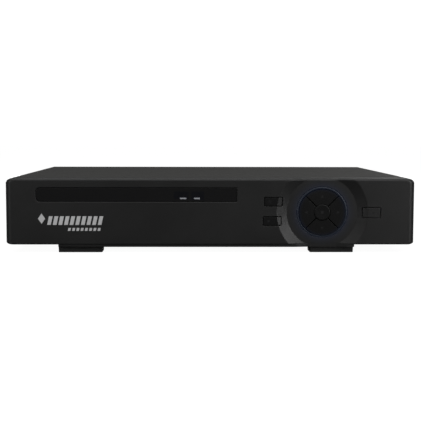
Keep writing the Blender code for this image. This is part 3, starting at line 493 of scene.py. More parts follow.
def facing_back(u, v, d):
    return np.stack([-u, BACK - d, v], -1)


def facing_down(u, v, d):
    return np.stack([u, -v, d], -1)


def in_mm(pairs):
    return [(first * MM, second * MM) for first, second in pairs]


def on_circle(centre, radius, angle):
    return centre[0] + radius * math.cos(angle), centre[1] + radius * math.sin(angle)


def rounded(shape, offset=0.0, steps=6):
    """Points round a rectangle with rounded corners: (centre u, centre v, half width, half height,
    radius of the left corners, radius of the right corners), offset outwards."""
    cu, cv, hu, hv, left, right = shape
    points = []
    for quarter, (su, sv) in enumerate(((1, 1), (-1, 1), (-1, -1), (1, -1))):
        inner = right if su > 0 else left
        radius = max(inner + offset, 0.02 * MM)
        centre = (cu + su * (hu + offset - radius), cv + sv * (hv + offset - radius))
        for step in range(steps + 1):
            angle = (quarter + step / steps) * math.pi / 2
            points.append(on_circle(centre, radius, angle))
    clean = [points[0]]
    for point in points[1:]:
        if math.dist(point, clean[-1]) > 1e-7:
            clean.append(point)
    if math.dist(clean[0], clean[-1]) < 1e-7:
        clean.pop()
    return clean


def circle(cu, cv, radius):
    return (cu, cv, radius, radius, radius, radius)


def outside(shape, u, v):
    """How far each point is outside a rounded rectangle; inside it, less than zero."""
    cu, cv, hu, hv, left, right = shape
    radius = np.where(u > cu, right, left)
    du = np.abs(u - cu) - hu + radius
    dv = np.abs(v - cv) - hv + radius
    corner = np.hypot(np.maximum(du, 0), np.maximum(dv, 0))
    return corner + np.minimum(np.maximum(du, dv), 0) - radius


def ease(distance, radius):
    """How far a rounded edge has fallen back at this distance from it."""
    t = np.clip(1 - distance / radius, 0, 1)
    return radius * (1 - np.sqrt(1 - t * t))


def edge_rings(shape, radius, side, steps=6):
    """The loops a rounded edge needs, on its outline's solid side: 1 outside, -1 inside."""
    shares = (0.0, 0.04, 0.15, 0.35, 0.62, 1.0)
    return [rounded(shape, side * share * radius, steps) for share in shares]


def ramp(x, soft):
    """Nought below nought and x above it, with a soft bend."""
    bend = (x + soft) ** 2 / (4 * soft)
    return np.where(x < -soft, 0.0, np.where(x > soft, x, bend))


def dish(u, v):
    """How deep the dish is at each point of the front."""
    r = np.hypot(u - DISH_X, v - DISH_Z)
    slope = DISH_DEPTH / (DISH_OUTER - DISH_INNER)
    return slope * (ramp(DISH_OUTER - r, DISH_SOFT) - ramp(DISH_INNER - r, DISH_SOFT))


def dish_rings(steps=64):
    rings = []
    for radius in (DISH_OUTER, DISH_INNER):
        for share in (-1.0, -0.5, 0.0, 0.5, 1.0):
            rings.append(rounded(circle(DISH_X, DISH_Z, radius + share * DISH_SOFT), 0.0, steps))
    return rings


def triangulate(loops, keep):
    """Points and anticlockwise triangles between the loops, where keep says so."""
    points, edges = [], []
    for loop in loops:
        start, count = len(points), len(loop)
        points += [Vector(p) for p in loop]
        edges += [(start + i, start + (i + 1) % count) for i in range(count)]
    verts, _, faces, *_ = delaunay_2d_cdt(points, edges, [], 0, 1e-7)
    places = np.array([tuple(v) for v in verts])
    corners = np.array(faces)
    a, b, c = (places[corners[:, i]] for i in range(3))
    area = (b[:, 0] - a[:, 0]) * (c[:, 1] - a[:, 1]) - (b[:, 1] - a[:, 1]) * (c[:, 0] - a[:, 0])
    corners[area < 0] = corners[area < 0][:, ::-1]
    centre = (a + b + c) / 3
    corners = corners[(np.abs(area) > 1e-13) & keep(centre[:, 0], centre[:, 1])]
    used, renumbered = np.unique(corners, return_inverse=True)
    return places[used], renumbered.reshape(-1, 3)


def moulding(
    loops, keep, front, back, place, finish, *, rim=None, outer=None, pick=None, draft=None
):
    """A closed wall with a shaped front. front and back give depths; rim gives extra rows of points
    between the front's outer edge and the back; draft moves the back's outline."""
    places, corners = triangulate(loops, keep)
    u, v = places[:, 0], places[:, 1]
    count = len(places)
    back_u, back_v = draft(u, v) if draft else (u, v)
    layers = [place(u, v, front(u, v)), place(back_u, back_v, back(u, v))]
    faces = [tuple(c) for c in corners]
    faces += [tuple(int(i) + count for i in c[::-1]) for c in corners]
    directed = {(int(c[i]), int(c[(i + 1) % 3])) for c in corners for i in range(3)}
    border = sorted(e for e in directed if (e[1], e[0]) not in directed)
    rows, row_of = [], {}
    if rim:
        ring = sorted({i for e in border for i in e if outer(u[i], v[i])})
        row_of = {i: k for k, i in enumerate(ring)}
        for row_u, row_v, row_d in rim(u[ring], v[ring]):
            rows.append(2 * count + len(rows) * len(ring))
            layers.append(place(row_u, row_v, row_d))
    for a, b in border:
        chain = [(a, b)]
        if a in row_of and b in row_of:
            chain += [(start + row_of[a], start + row_of[b]) for start in rows]
        chain.append((a + count, b + count))
        for (a0, b0), (a1, b1) in zip(chain, chain[1:]):
            faces.append((b0, a0, a1, b1))
    if pick:
        centre_u, centre_v = u[corners].mean(1), v[corners].mean(1)
        chosen = list(pick(centre_u, centre_v))
        finish = chosen + [finish] * (len(faces) - len(chosen))
    return np.concatenate(layers), faces, finish


def lathe(profile, centre, along, finish, steps=64, turn=0.0):
    """A closed ring of profile points (radius, distance along the axis), turned round an axis."""
    along = Vector(along)
    side = Vector((-along.y, along.x, 0)) if abs(along.z) < 0.9 else X.copy()
    side.normalize()
    up = along.cross(side)
    angles = np.linspace(0, 2 * math.pi, steps, endpoint=False) + turn
    spokes = np.outer(np.cos(angles), np.array(side)) + np.outer(np.sin(angles), np.array(up))
    rows = [np.array(centre) + r * spokes + d * np.array(along) for r, d in profile]
    count = len(profile)
    faces = []
    for row in range(count):
        after = (row + 1) % count
        if profile[row][0] < 1e-9 and profile[after][0] < 1e-9:
            continue
        for i in range(steps):
            j = (i + 1) % steps
            faces.append((row * steps + i, row * steps + j, after * steps + j, after * steps + i))
    return np.concatenate(rows), faces, finish


def from_bmesh(build, finish):
    build.verts.index_update()
    points = np.array([tuple(v.co) for v in build.verts])
    faces = [tuple(v.index for v in f.verts) for f in build.faces]
    build.free()
    return points, faces, finish


def block(low, high, finish, edge=0.2 * MM, steps=2):
    """A box with rounded edges."""
    low, high = Vector(low), Vector(high)
    build = bmesh.new()
    place = Matrix.Translation((low + high) / 2) @ Matrix.Diagonal((*(high - low), 1))
    bmesh.ops.create_cube(build, size=1, matrix=place)
    bmesh.ops.bevel(
        build, geom=build.edges[:], offset=edge, segments=steps, profile=0.5, affect="EDGES"
    )
    return from_bmesh(build, finish)


def cut_out(outline, place, near, far, finish, edge=0.0, steps=2):
    """A flat outline made thick, from depth near to depth far, its near edge rounded."""
    build = bmesh.new()
    u, v = np.array(outline).T
    front = [build.verts.new(p) for p in place(u, v, np.full(len(u), near))]
    back = [build.verts.new(p) for p in place(u, v, np.full(len(u), far))]
    face = build.faces.new(front)
    build.faces.new(back[::-1])
    count = len(front)
    for i in range(count):
        j = (i + 1) % count
        build.faces.new((front[j], front[i], back[i], back[j]))
    if edge:
        bmesh.ops.bevel(
            build, geom=list(face.edges), offset=edge, segments=steps, profile=0.5, affect="EDGES"
        )
    return from_bmesh(build, finish)


def piece(name, body, shells, *, nodes=(), sharp=32.0, weighted=True):
    """Makes one object of the shells, rides it on a body and stands it for CAD nodes."""
    points, faces, finishes, slots = [], [], [], []
    for shell_points, shell_faces, finish in shells:
        start = len(points)
        points += [tuple(p) for p in shell_points]
        faces += [tuple(start + int(i) for i in f) for f in shell_faces]
        finishes += finish if isinstance(finish, list) else [finish] * len(shell_faces)
    mesh = bpy.data.meshes.new(name)
    mesh.from_pydata(points, [], faces)
    for finish in finishes:
        if finish not in slots:
            slots.append(finish)
            mesh.materials.append(finish)
    mesh.polygons.foreach_set("material_index", [slots.index(f) for f in finishes])
    build = bmesh.new()
    build.from_mesh(mesh)
    bmesh.ops.remove_doubles(build, verts=build.verts, dist=1e-7)
    bmesh.ops.dissolve_degenerate(build, edges=build.edges, dist=1e-8)
    bmesh.ops.recalc_face_normals(build, faces=build.faces)
    build.to_mesh(mesh)
    build.free()
    mesh.shade_smooth()
    mesh.set_sharp_from_angle(angle=math.radians(sharp))
    made = bpy.data.objects.new(name, mesh)
    SCENE.collection.objects.link(made)
    if weighted:
        normals = made.modifiers.new("weighted", "WEIGHTED_NORMAL")
        normals.keep_sharp = True
        normals.weight = 50
    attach(made, body)
    if nodes:
        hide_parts(*nodes)
    return made


# ---------------------------------------------------------------- the moulded front

RIM_SIDE, RIM_TOP, RIM_BOTTOM = 4.2 * MM, 2.0 * MM, 0.8 * MM
RIM_CORNER_TOP, RIM_CORNER_BOTTOM = 1.8 * MM, 1.0 * MM
FACE_BOTTOM = 6.3 * MM
RAIL_LEFT, RAIL_RIGHT, RAIL_RECESS = -111.8 * MM, 105.8 * MM, 1.2 * MM
DISH_REACH, DISH_PITCH = 36 * MM, 0.6 * MM


def flat_face():
    """The front's flat part: its centre and half sizes, across and up."""
    left, right = -(BEZEL_HIGH.x - RIM_SIDE), BEZEL_HIGH.x - RIM_SIDE
    bottom, top = FACE_BOTTOM + RIM_BOTTOM, TOP - RIM_TOP
    return (left + right) / 2, (bottom + top) / 2, (right - left) / 2, (top - bottom) / 2


def flat_outline():
    """The outline of the flat part, dense where the dish crosses it."""
    cu, cv, hu, hv = flat_face()
    corners = (
        (1, 1, RIM_CORNER_TOP),
        (-1, 1, RIM_CORNER_TOP),
        (-1, -1, RIM_CORNER_BOTTOM),
        (1, -1, RIM_CORNER_BOTTOM),
    )
    points = []
    for quarter, (su, sv, radius) in enumerate(corners):
        centre = (cu + su * (hu - radius), cv + sv * (hv - radius))
        for angle in np.linspace(quarter, quarter + 1, 9) * math.pi / 2:
            points.append(on_circle(centre, radius, angle))
        if quarter in (0, 2):
            across = np.arange(DISH_X - DISH_REACH, DISH_X + DISH_REACH, DISH_PITCH)
            across = across[::-1] if quarter == 0 else across
            points += [(a, cv + sv * hv) for a in across]
    return points


def outline_normal(u, v):
    """The outward direction at each point of the flat part's outline, by its nearest corner arc."""
    cu, cv, hu, hv = flat_face()
    radius = np.where(v > cv, RIM_CORNER_TOP, RIM_CORNER_BOTTOM)
    du = np.maximum(np.abs(u - cu) - hu + radius, 0) * np.sign(u - cu)
    dv = np.maximum(np.abs(v - cv) - hv + radius, 0) * np.sign(v - cv)
    length = np.maximum(np.hypot(du, dv), 1e-9)
    return du / length, dv / length


def bezel_rim(u, v):
    """Rows from the flat part's outline round the edge, back along the sides and in again."""
    nu, nv = outline_normal(u, v)
    out_v = np.where(v > DISH_Z, RIM_TOP, RIM_BOTTOM)
    fall = RIM_SIDE * nu * nu + out_v * nv * nv
    rows = []
    for angle in np.radians([80, 70, 60, 50, 40, 30, 20, 10, 0]):
        row_u = u + RIM_SIDE * nu * math.cos(angle)
        row_v = v + out_v * nv * math.cos(angle)
        rows.append((row_u, row_v, dish(row_u, row_v) + fall * (1 - math.sin(angle))))
    wide_u, wide_v = rows[-1][:2]
    full = BEZEL_BACK - FRONT
    soft = 0.25 * MM
    for inset, short in ((0.0, soft), (soft * 0.3, soft * 0.3), (soft, 0.0)):
        rows.append((wide_u - inset * nu, wide_v - inset * nv, np.full(len(u), full - short)))
    inner_u, inner_v = u + 0.1 * MM * nu, v + 0.1 * MM * nv
    rows.append((inner_u, inner_v, np.full(len(u), full)))
    return rows


def opening_of(node, gap, radius_left, radius_right=None):
    """The opening round a node's front, as a rounded rectangle."""
    low, high = node
    half_u, half_v = (high[0] - low[0]) / 2 + gap, (high[1] - low[1]) / 2 + gap
    centre = ((low[0] + high[0]) / 2, (low[1] + high[1]) / 2)
    right = radius_left if radius_right is None else radius_right
    return (*centre, half_u, half_v, radius_left, right)


FLANGE = {"display_window": 1.5 * MM, "oblong": 1.0 * MM}


def face_size(node, flange):
    """The lowest and highest corners, across and up, of a piece's face inside its flange."""
    low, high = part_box(node)
    return (low.x + flange, low.z + flange), (high.x - flange, high.z - flange)


WINDOW = face_size("display_window", FLANGE["display_window"])
OBLONG = {
    name: face_size(name, FLANGE["oblong"])
    for name in ("function_key_upper", "function_key_lower", "power_key")
}
RING_OUTER, RING_INNER = 18.7 * MM, 17.2 * MM


def add_bezel():
    window = opening_of(WINDOW, 0.20 * MM, 3.0 * MM, 0.5 * MM)
    openings = [(window, 12, 0.55 * MM)]
    openings += [(opening_of(face, 0.38 * MM, 0.9 * MM), 6, 0.28 * MM) for face in OBLONG.values()]
    openings.append((circle(DISH_X, DISH_Z, RING_OUTER + 0.15 * MM), 40, 0.28 * MM))
    loops = [flat_outline(), *dish_rings()]
    for shape, steps, edge in openings:
        loops += edge_rings(shape, edge, 1, steps)
    cu, cv, hu, hv = flat_face()

    def keep(u, v):
        inside = np.ones(len(u), bool)
        for sign, radius in ((1, RIM_CORNER_TOP), (-1, RIM_CORNER_BOTTOM)):
            gap = outside((cu, cv, hu, hv, radius, radius), u, v)
            inside &= (gap < 0) | ((v - cv) * sign < 0)
        for shape, *_ in openings:
            inside &= outside(shape, u, v) > 0
        return inside

    def front(u, v):
        depth = dish(u, v)
        for shape, _, edge in openings:
            depth = depth + ease(np.maximum(outside(shape, u, v), 0), edge)
        return depth

    def back(u, v):
        return dish(u, v) + 2.5 * MM

    def outer(u, v):
        return all(abs(float(outside(shape, u, v))) > 1e-6 for shape, *_ in openings)

    shell = moulding(loops, keep, front, back, facing_front, BEZEL, rim=bezel_rim, outer=outer)
    # The lower rail: its front follows the dish, or the recess where that is deeper
    crossed = np.arange(DISH_X - DISH_REACH, RAIL_RIGHT, DISH_PITCH)
    across = np.unique(np.concatenate((crossed, (RAIL_LEFT, RAIL_RIGHT))))
    recess = np.maximum(dish(across, np.full(len(across), FACE_BOTTOM)), RAIL_RECESS)
    back_edge = -(BEZEL_BACK - 0.1 * MM)
    front_edge = zip(across[::-1], -(FRONT + recess[::-1]))
    plan = [(RAIL_RIGHT, back_edge), *front_edge, (RAIL_LEFT, back_edge)]
    rail = cut_out(plan, facing_down, BEZEL_LOW.z, FACE_BOTTOM + 0.9 * MM, BEZEL, 0.4 * MM, 3)
    shells = [shell, rail]
    piece("bezel_moulding", "case", shells, nodes=["front_bezel"], sharp=24)


def add_window():
    shape = opening_of(WINDOW, 0.0, 2.8 * MM, 0.35 * MM)
    edge = 0.25 * MM
    (left, bottom), (right, top) = WINDOW
    smoked = window_finish(
        [
            (-27.5 * MM, -15.6 * MM, bottom + 1.6 * MM, top - 2.2 * MM),
            (-14.6 * MM, -4.6 * MM, bottom + 0.6 * MM, top - 2.2 * MM),
        ]
    )
    shell = moulding(
        edge_rings(shape, edge, -1, 12),
        lambda u, v: outside(shape, u, v) < 0,
        lambda u, v: 0.25 * MM + ease(np.maximum(-outside(shape, u, v), 0), edge),
        lambda u, v: np.full(len(u), 3.3 * MM),
        facing_front,
        smoked,
    )
    flange = block(
        (left - 1.4 * MM, FRONT + 2.85 * MM, bottom - 1.4 * MM),
        (right + 1.4 * MM, FRONT + 3.95 * MM, top + 1.4 * MM),
        smoked,
        0.1 * MM,
        1,
    )
    piece(
        "smoked_window", "case", [shell, flange], nodes=["display_window"]
    )
    lit = lamp("lit_legend", (0.90, 0.93, 1.0), 0.085)
    for name, start, end in (("legend_left", -22.6, -17.9), ("legend_right", -12.4, -8.0)):
        middle, half = (start + end) / 2 * MM, (end - start) / 2 * MM
        bar = (middle, 40.25 * MM, half, 0.52 * MM, 0.4 * MM, 0.4 * MM)
        shell = cut_out(rounded(bar), facing_front, 0.21 * MM, 0.26 * MM, lit)
        piece(name, "case", [shell], weighted=False)


def add_ring():
    centre = (DISH_X, FRONT, DISH_Z)
    floor = DISH_DEPTH
    profile = [
        (RING_INNER, floor + 3.8 * MM),
        (RING_INNER, floor + 0.1 * MM),
        (RING_INNER + 0.10 * MM, floor - 0.20 * MM),
        (RING_INNER + 0.38 * MM, floor - 0.36 * MM),
        (RING_INNER + 0.75 * MM, floor - 0.40 * MM),
        (RING_OUTER - 0.38 * MM, floor - 0.34 * MM),
        (RING_OUTER - 0.10 * MM, floor - 0.16 * MM),
        (RING_OUTER, floor + 0.15 * MM),
        (RING_OUTER, floor + 2.9 * MM),
        (20.4 * MM, floor + 2.9 * MM),
        (20.4 * MM, floor + 3.8 * MM),
    ]
    shell = lathe(profile, centre, Y, light_guide(), 192)
    piece("glow_ring", "case", [shell], nodes=["light_ring"])


def arc(radius, start, end, steps):
    angles = np.radians(np.linspace(start, end, steps))
    return [(radius * math.sin(a), radius * math.cos(a)) for a in angles]


PAD_FACE = DISH_DEPTH - 1.2 * MM
OK_FACE = DISH_DEPTH - 1.6 * MM
PAD_OUTER, PAD_INNER, PAD_SLIT = 16.9 * MM, 6.2 * MM, 0.24 * MM


def quarter_outline(angle):
    """A quarter ring's outline, its straight sides drawn in by the slit, turned to angle."""
    def side_angle(radius):
        return 45 - math.degrees(math.asin(PAD_SLIT / radius))

    wide, narrow = side_angle(PAD_OUTER), side_angle(PAD_INNER)
    outline = arc(PAD_OUTER, wide, -wide, 40) + arc(PAD_INNER, -narrow, narrow, 24)
    turn = math.radians(angle)
    return [
        (
            DISH_X + u * math.cos(turn) + v * math.sin(turn),
            DISH_Z - u * math.sin(turn) + v * math.cos(turn),
        )
        for u, v in outline
    ]


def add_keypad():
    for name, angle, body in (
        ("key_up", 0, "up_button"),
        ("key_right", 90, "right_button"),
        ("key_down", 180, "down_button"),
        ("key_left", -90, "left_button"),
    ):
        outline = quarter_outline(angle)
        shell = cut_out(outline, facing_front, PAD_FACE, 8.2 * MM, KEY_DARK, 0.28 * MM, 4)
        turn = math.radians(angle)
        middle = (DISH_X + 11.6 * MM * math.sin(turn), DISH_Z + 11.6 * MM * math.cos(turn))
        points = [
            (
                middle[0] + r * MM * math.sin(turn + a),
                middle[1] + r * MM * math.cos(turn + a),
            )
            for r, a in ((1.35, 0.0), (1.35, -2.25), (1.35, 2.25))
        ]
        arrow = cut_out(points, facing_front, PAD_FACE - 0.02 * MM, PAD_FACE + 0.05 * MM, FAINT_INK)
        piece(f"{name}_cap", body, [shell, arrow], nodes=[name], sharp=38)
    profile = [
        (0.0, 8.3 * MM),
        (0.0, OK_FACE + 0.16 * MM),
        (3.6 * MM, OK_FACE + 0.10 * MM),
        (4.9 * MM, OK_FACE),
        (5.35 * MM, OK_FACE + 0.02 * MM),
        (5.64 * MM, OK_FACE + 0.09 * MM),
        (5.82 * MM, OK_FACE + 0.24 * MM),
        (5.89 * MM, OK_FACE + 0.46 * MM),
        (5.89 * MM, 8.3 * MM),
    ]
    cap = lathe(profile, (DISH_X, FRONT, DISH_Z), Y, KEY_DARK, 96)
    mark = cut_out(
        rounded((DISH_X, DISH_Z, 1.0 * MM, 1.0 * MM, 0.3 * MM, 0.3 * MM)),
        facing_front,
        OK_FACE + 0.12 * MM,
        OK_FACE + 0.25 * MM,
        FAINT_INK,
    )
    piece("key_ok_cap", "centre_button", [cap, mark], nodes=["key_ok"])


def add_oblong_keys():
    """Caps that follow the front across the dish's edge; the left two are glossy outside it."""
    bodies = {
        "function_key_upper": "upper_button",
        "function_key_lower": "lower_button",
        "power_key": "power_button",
    }
    for name, face in OBLONG.items():
        shape = opening_of(face, 0.0, 0.6 * MM)
        edge = 0.28 * MM
        glossy = name != "power_key"

        def pick(u, v):
            out = np.hypot(u - DISH_X, v - DISH_Z) > DISH_OUTER
            return [KEY_GLOSS if o and glossy else BEZEL for o in out]

        shell = moulding(
            [*edge_rings(shape, edge, -1, 6), *dish_rings(96)],
            lambda u, v: outside(shape, u, v) < 0,
            lambda u, v: dish(u, v) + ease(np.maximum(-outside(shape, u, v), 0), edge),
            lambda u, v: np.full(len(u), 7.1 * MM),
            facing_front,
            BEZEL,
            pick=pick,
        )
        cu, cv = shape[:2]
        left = cu - 2.6 * MM
        icons = {
            "function_key_upper": [
                (left, cv + row * MM, 1.1 * MM, 0.16 * MM, 0, 0) for row in (-0.8, 0, 0.8)
            ],
            "function_key_lower": [(left, cv, 0.8 * MM, 0.8 * MM, 0.1 * MM, 0.1 * MM)],
            "power_key": [circle(cu + 1.2 * MM, cv, 0.9 * MM)],
        }[name]
        prints = [
            cut_out(rounded(icon), facing_front, -0.01 * MM, 0.08 * MM, FAINT_INK) for icon in icons
        ]
        piece(f"{name}_cap", bodies[name], [shell, *prints], nodes=[name])


def add_mark():
    """A plain silver print at the lower left: a diamond, slanted strokes and a row of dashes."""
    lean = 0.22

    def stroke(left, right, bottom, top):
        shift = lean * (top - bottom)
        corners = ((left, bottom), (right, bottom), (right + shift, top), (left + shift, top))
        return cut_out(in_mm(corners), facing_front, -0.02 * MM, 0.05 * MM, INK)

    diamond = [(-126.2, 25.4), (-123.6, 21.6), (-121.0, 25.4), (-123.6, 29.2)]
    shells = [cut_out(in_mm(diamond), facing_front, -0.02 * MM, 0.05 * MM, INK)]
    shells += [stroke(-119.6 + 4.1 * k, -116.9 + 4.1 * k, 20.8, 27.2) for k in range(10)]
    shells += [stroke(-104.6 + 3.1 * k, -102.7 + 3.1 * k, 16.4, 18.6) for k in range(8)]
    piece("silver_mark", "case", shells, weighted=False)


add_bezel()
add_window()
add_ring()
add_keypad()
add_oblong_keys()
add_mark()

# ---------------------------------------------------------------- the folded cover

SHEET = 1.0 * MM
BEND = 1.6 * MM
LIP_BOTTOM = 45.5 * MM


def cover_path():
    """The half profile's lengths: down the side, round the bend, across to the middle."""
    side = COVER_HIGH.z - BEND - COVER_LOW.z
    quarter = BEND * math.pi / 2
    return side, quarter, COVER_HIGH.x - BEND


def folded(u, v, d):
    """The flat sheet's points on the folded cover: u runs across from the middle, v to the back."""
    _, quarter, half = cover_path()
    sign = np.sign(u)
    run = np.abs(u)
    angle = np.clip((run - half) / BEND, 0, math.pi / 2)
    down = np.maximum(run - half - quarter, 0)
    radius = BEND - d
    x = np.minimum(run, half) + radius * np.sin(angle)
    z = COVER_HIGH.z - BEND + radius * np.cos(angle) - down
    return np.stack([sign * x, v, z], -1)


def add_cover():
    side, quarter, half = cover_path()
    front, rear = COVER_LOW.y, COVER_HIGH.y
    lower_rear = BACK - 0.5 * MM
    full = half + quarter + side
    lip_run = half + quarter + (COVER_HIGH.z - BEND - LIP_BOTTOM)
    outline = [
        (-full, front), (full, front), (full, lower_rear), (lip_run, lower_rear),
        (lip_run, rear), (-lip_run, rear), (-lip_run, lower_rear), (-full, lower_rear),
    ]
    steps = [half + quarter * k / 10 for k in range(11)]
    folds = []
    for run in steps:
        for sign in (-1, 1):
            folds.append([(sign * run, front), (sign * run, rear)])
    folds.append([(0.0, front), (0.0, rear)])
    slots = []
    pitch, width, tall = 7.5 * MM, 2.8 * MM, 10.0 * MM
    start = FRONT + 70 * MM + width / 2
    for row in (23.0 * MM, 37.0 * MM):
        run = half + quarter + (COVER_HIGH.z - BEND - row)
        for column in range(12):
            middle = start + column * pitch
            for sign in (-1, 1):
                slots.append((sign * run, middle, tall / 2, width / 2, width / 2, width / 2))
    loops = [outline, *folds, *[rounded(s, 0.0, 8) for s in slots]]

    def keep(u, v):
        run = np.abs(u)
        inside = (run < full) & (v > front) & (v < np.where(run < lip_run, rear, lower_rear))
        for shape in slots:
            inside &= outside(shape, u, v) > 0
        return inside

    sheet = moulding(
        loops,
        keep,
        lambda u, v: np.zeros(len(u)),
        lambda u, v: np.full(len(u), SHEET),
        folded,
        POWDER,
    )
    lip = block(
        (-(COVER_HIGH.x - 0.02 * MM), rear - SHEET, LIP_BOTTOM),
        (COVER_HIGH.x - 0.02 * MM, rear - 0.01 * MM, COVER_HIGH.z - 0.5 * MM),
        POWDER,
        0.2 * MM,
        2,
    )
    piece("folded_cover", "case", [sheet, lip], nodes=["top_cover"], sharp=30)


def add_feet():
    """Drafted rubber blocks with rounded lower edges and a screw recess."""
    edge, recess_depth, recess_edge, shoulder = 0.4 * MM, 2.2 * MM, 0.3 * MM, 0.005 * MM
    for node in ("foot_front_left", "foot_front_right", "foot_rear_left", "foot_rear_right"):
        low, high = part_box(node)
        cu, cv = (low.x + high.x) / 2, -(low.y + high.y) / 2
        half_u, half_v = (high.x - low.x) / 2, (high.y - low.y) / 2
        shape = (cu, cv, half_u - 0.15 * MM, half_v - 0.15 * MM, 1.0 * MM, 1.0 * MM)
        recess = circle(cu, cv, 3.9 * MM)
        loops = edge_rings(shape, edge, -1, 8) + edge_rings(recess, recess_edge, 1, 16)
        loops.append(rounded(recess, -2 * shoulder, 16))

        def depth(u, v, shape=shape, recess=recess):
            gap = outside(recess, u, v)
            bore = np.where(gap < -shoulder, recess_depth, ease(np.maximum(gap, 0), recess_edge))
            return bore + ease(np.maximum(-outside(shape, u, v), 0), edge)

        def draft(u, v, shape=shape, half_u=half_u, half_v=half_v):
            cu, cv = shape[:2]
            return cu + (u - cu) * half_u / shape[2], cv + (v - cv) * half_v / shape[3]

        shell = moulding(
            loops,
            lambda u, v, shape=shape: outside(shape, u, v) < 0,
            depth,
            lambda u, v, top=high.z: np.full(len(u), top),
            facing_down,
            RUBBER,
            draft=draft,
        )
        screw = screw_head((cu, -cv, recess_depth), Z, 2.9 * MM, 1.2 * MM)
        piece(f"{node}_pad", "case", [shell, screw], nodes=[node], sharp=40)


def screw_head(seat, inward, radius, height, finish=ZINC):
    """A low domed head with a cross recess, resting on seat; the screw goes inward."""
    inward = Vector(inward)
    side = X.copy() if abs(inward.x) < 0.9 else Y.copy()
    up = side.cross(-inward)
    arm, wide = 0.62 * radius, 0.17 * radius
    outline = [
        (arm, -wide), (arm, wide), (wide, wide), (wide, arm), (-wide, arm), (-wide, wide),
        (-arm, wide), (-arm, -wide), (-wide, -wide), (-wide, -arm), (wide, -arm), (wide, -wide),
    ]
    shrunk = [(u * 0.80, v * 0.80) for u, v in outline]
    disc = circle(0, 0, radius)
    edge = 0.45 * height

    def place(u, v, d):
        points = np.outer(u, np.array(side)) + np.outer(v, np.array(up))
        return np.array(seat) + points + np.outer(d - height, np.array(inward))

    def depth(u, v):
        dome = 0.35 * height * (u * u + v * v) / radius**2
        near, far = np.minimum(abs(u), abs(v)), np.maximum(abs(u), abs(v))
        cross = (near < wide * 0.85) & (far < arm * 0.85)
        sink = np.where(cross, 0.62 * height, 0.0)
        return dome + sink + ease(np.maximum(-outside(disc, u, v), 0), edge)

    loops = edge_rings(disc, edge, -1, 8) + [outline, shrunk]
    return moulding(
        loops,
        lambda u, v: outside(disc, u, v) < 0,
        depth,
        lambda u, v: np.full(len(u), height),
        place,
        finish,
    )


def add_screws():
    """The cover's pan-head screws, each head seated a little inside its solid's outer face."""
    sunk = 1.6 * MM
    shank = [(0.0, 0.0), (1.25, 0.0), (1.25, 4.6), (0.9, 5.0), (0.0, 5.0)]
    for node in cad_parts:
        if not node.startswith("cover_screw"):
            continue
        low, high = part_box(node)
        middle = (low + high) / 2
        if "back" in node:
            inward, seat = -Y, Vector((middle.x, high.y - sunk, middle.z))
        elif "left" in node:
            inward, seat = X, Vector((low.x + sunk, middle.y, middle.z))
        else:
            inward, seat = -X, Vector((high.x - sunk, middle.y, middle.z))
        head = screw_head(seat, inward, 2.75 * MM, 1.55 * MM)
        body = lathe(in_mm(shank[::-1]), seat, inward, ZINC, 24)
        piece(f"{node}_pan_head", "case", [head, body], nodes=[node], sharp=35)


add_cover()
add_feet()
add_screws()

# ---------------------------------------------------------------- sockets at the back
# Here u runs to the left as seen in the frame, so a place at x has u = -x.

JACK_BODY_END = 105.6 * MM


def filleted(corners, radius, steps=5):
    """A polygon, anticlockwise, with every corner rounded."""
    points = []
    count = len(corners)
    for i, corner in enumerate(corners):
        here = np.array(corner)
        before, after = np.array(corners[i - 1]), np.array(corners[(i + 1) % count])
        a, b = (before - here), (after - here)
        a, b = a / np.hypot(*a), b / np.hypot(*b)
        half = math.acos(np.clip(a @ b, -1, 1)) / 2
        start, end = here + a * radius / math.tan(half), here + b * radius / math.tan(half)
        middle = (a + b) / np.hypot(*(a + b))
        centre = here + middle * radius / math.sin(half)
        first, last = (math.atan2(*(p - centre)[::-1]) for p in (start, end))
        turn = (last - first + math.pi) % (2 * math.pi) - math.pi
        for step in range(steps + 1):
            angle = first + turn * step / steps
            points.append(on_circle(centre, radius, angle))
    return points


def within(points, u, v):
    """Whether each place is inside a polygon."""
    inside = np.zeros(np.shape(u), bool)
    for (u0, v0), (u1, v1) in zip(points, points[1:] + points[:1]):
        if v0 != v1:
            across = ((v0 > v) != (v1 > v)) & (u < (u1 - u0) * (v - v0) / (v1 - v0) + u0)
            inside ^= across
    return inside


def tube(outer, holes, near, far, finish, place=None):
    """A block with the outline outer and holes through it, from depth near to depth far."""
    return moulding(
        [outer, *holes],
        lambda u, v: within(outer, u, v) & ~np.any([within(h, u, v) for h in holes], axis=0),
        lambda u, v: np.full(len(u), near),
        lambda u, v: np.full(len(u), far),
        place or facing_back,
        finish,
    )


def oblong(cu, cv, width, height, radius, steps=4):
    return rounded((cu, cv, width / 2, height / 2, radius, radius), 0.0, steps)


def contacts(cu, count, pitch, half, depths, levels, edge):
    """A row of gilt contacts centred on cu, between two depths behind the panel and two levels."""
    shells = []
    for number in range(count):
        x = -cu + (number - (count - 1) / 2) * pitch * MM
        low = (x - half * MM, BACK - depths[0] * MM, levels[0])
        high = (x + half * MM, BACK - depths[1] * MM, levels[1])
        shells.append(block(low, high, GOLD, edge * MM, 1))
    return shells


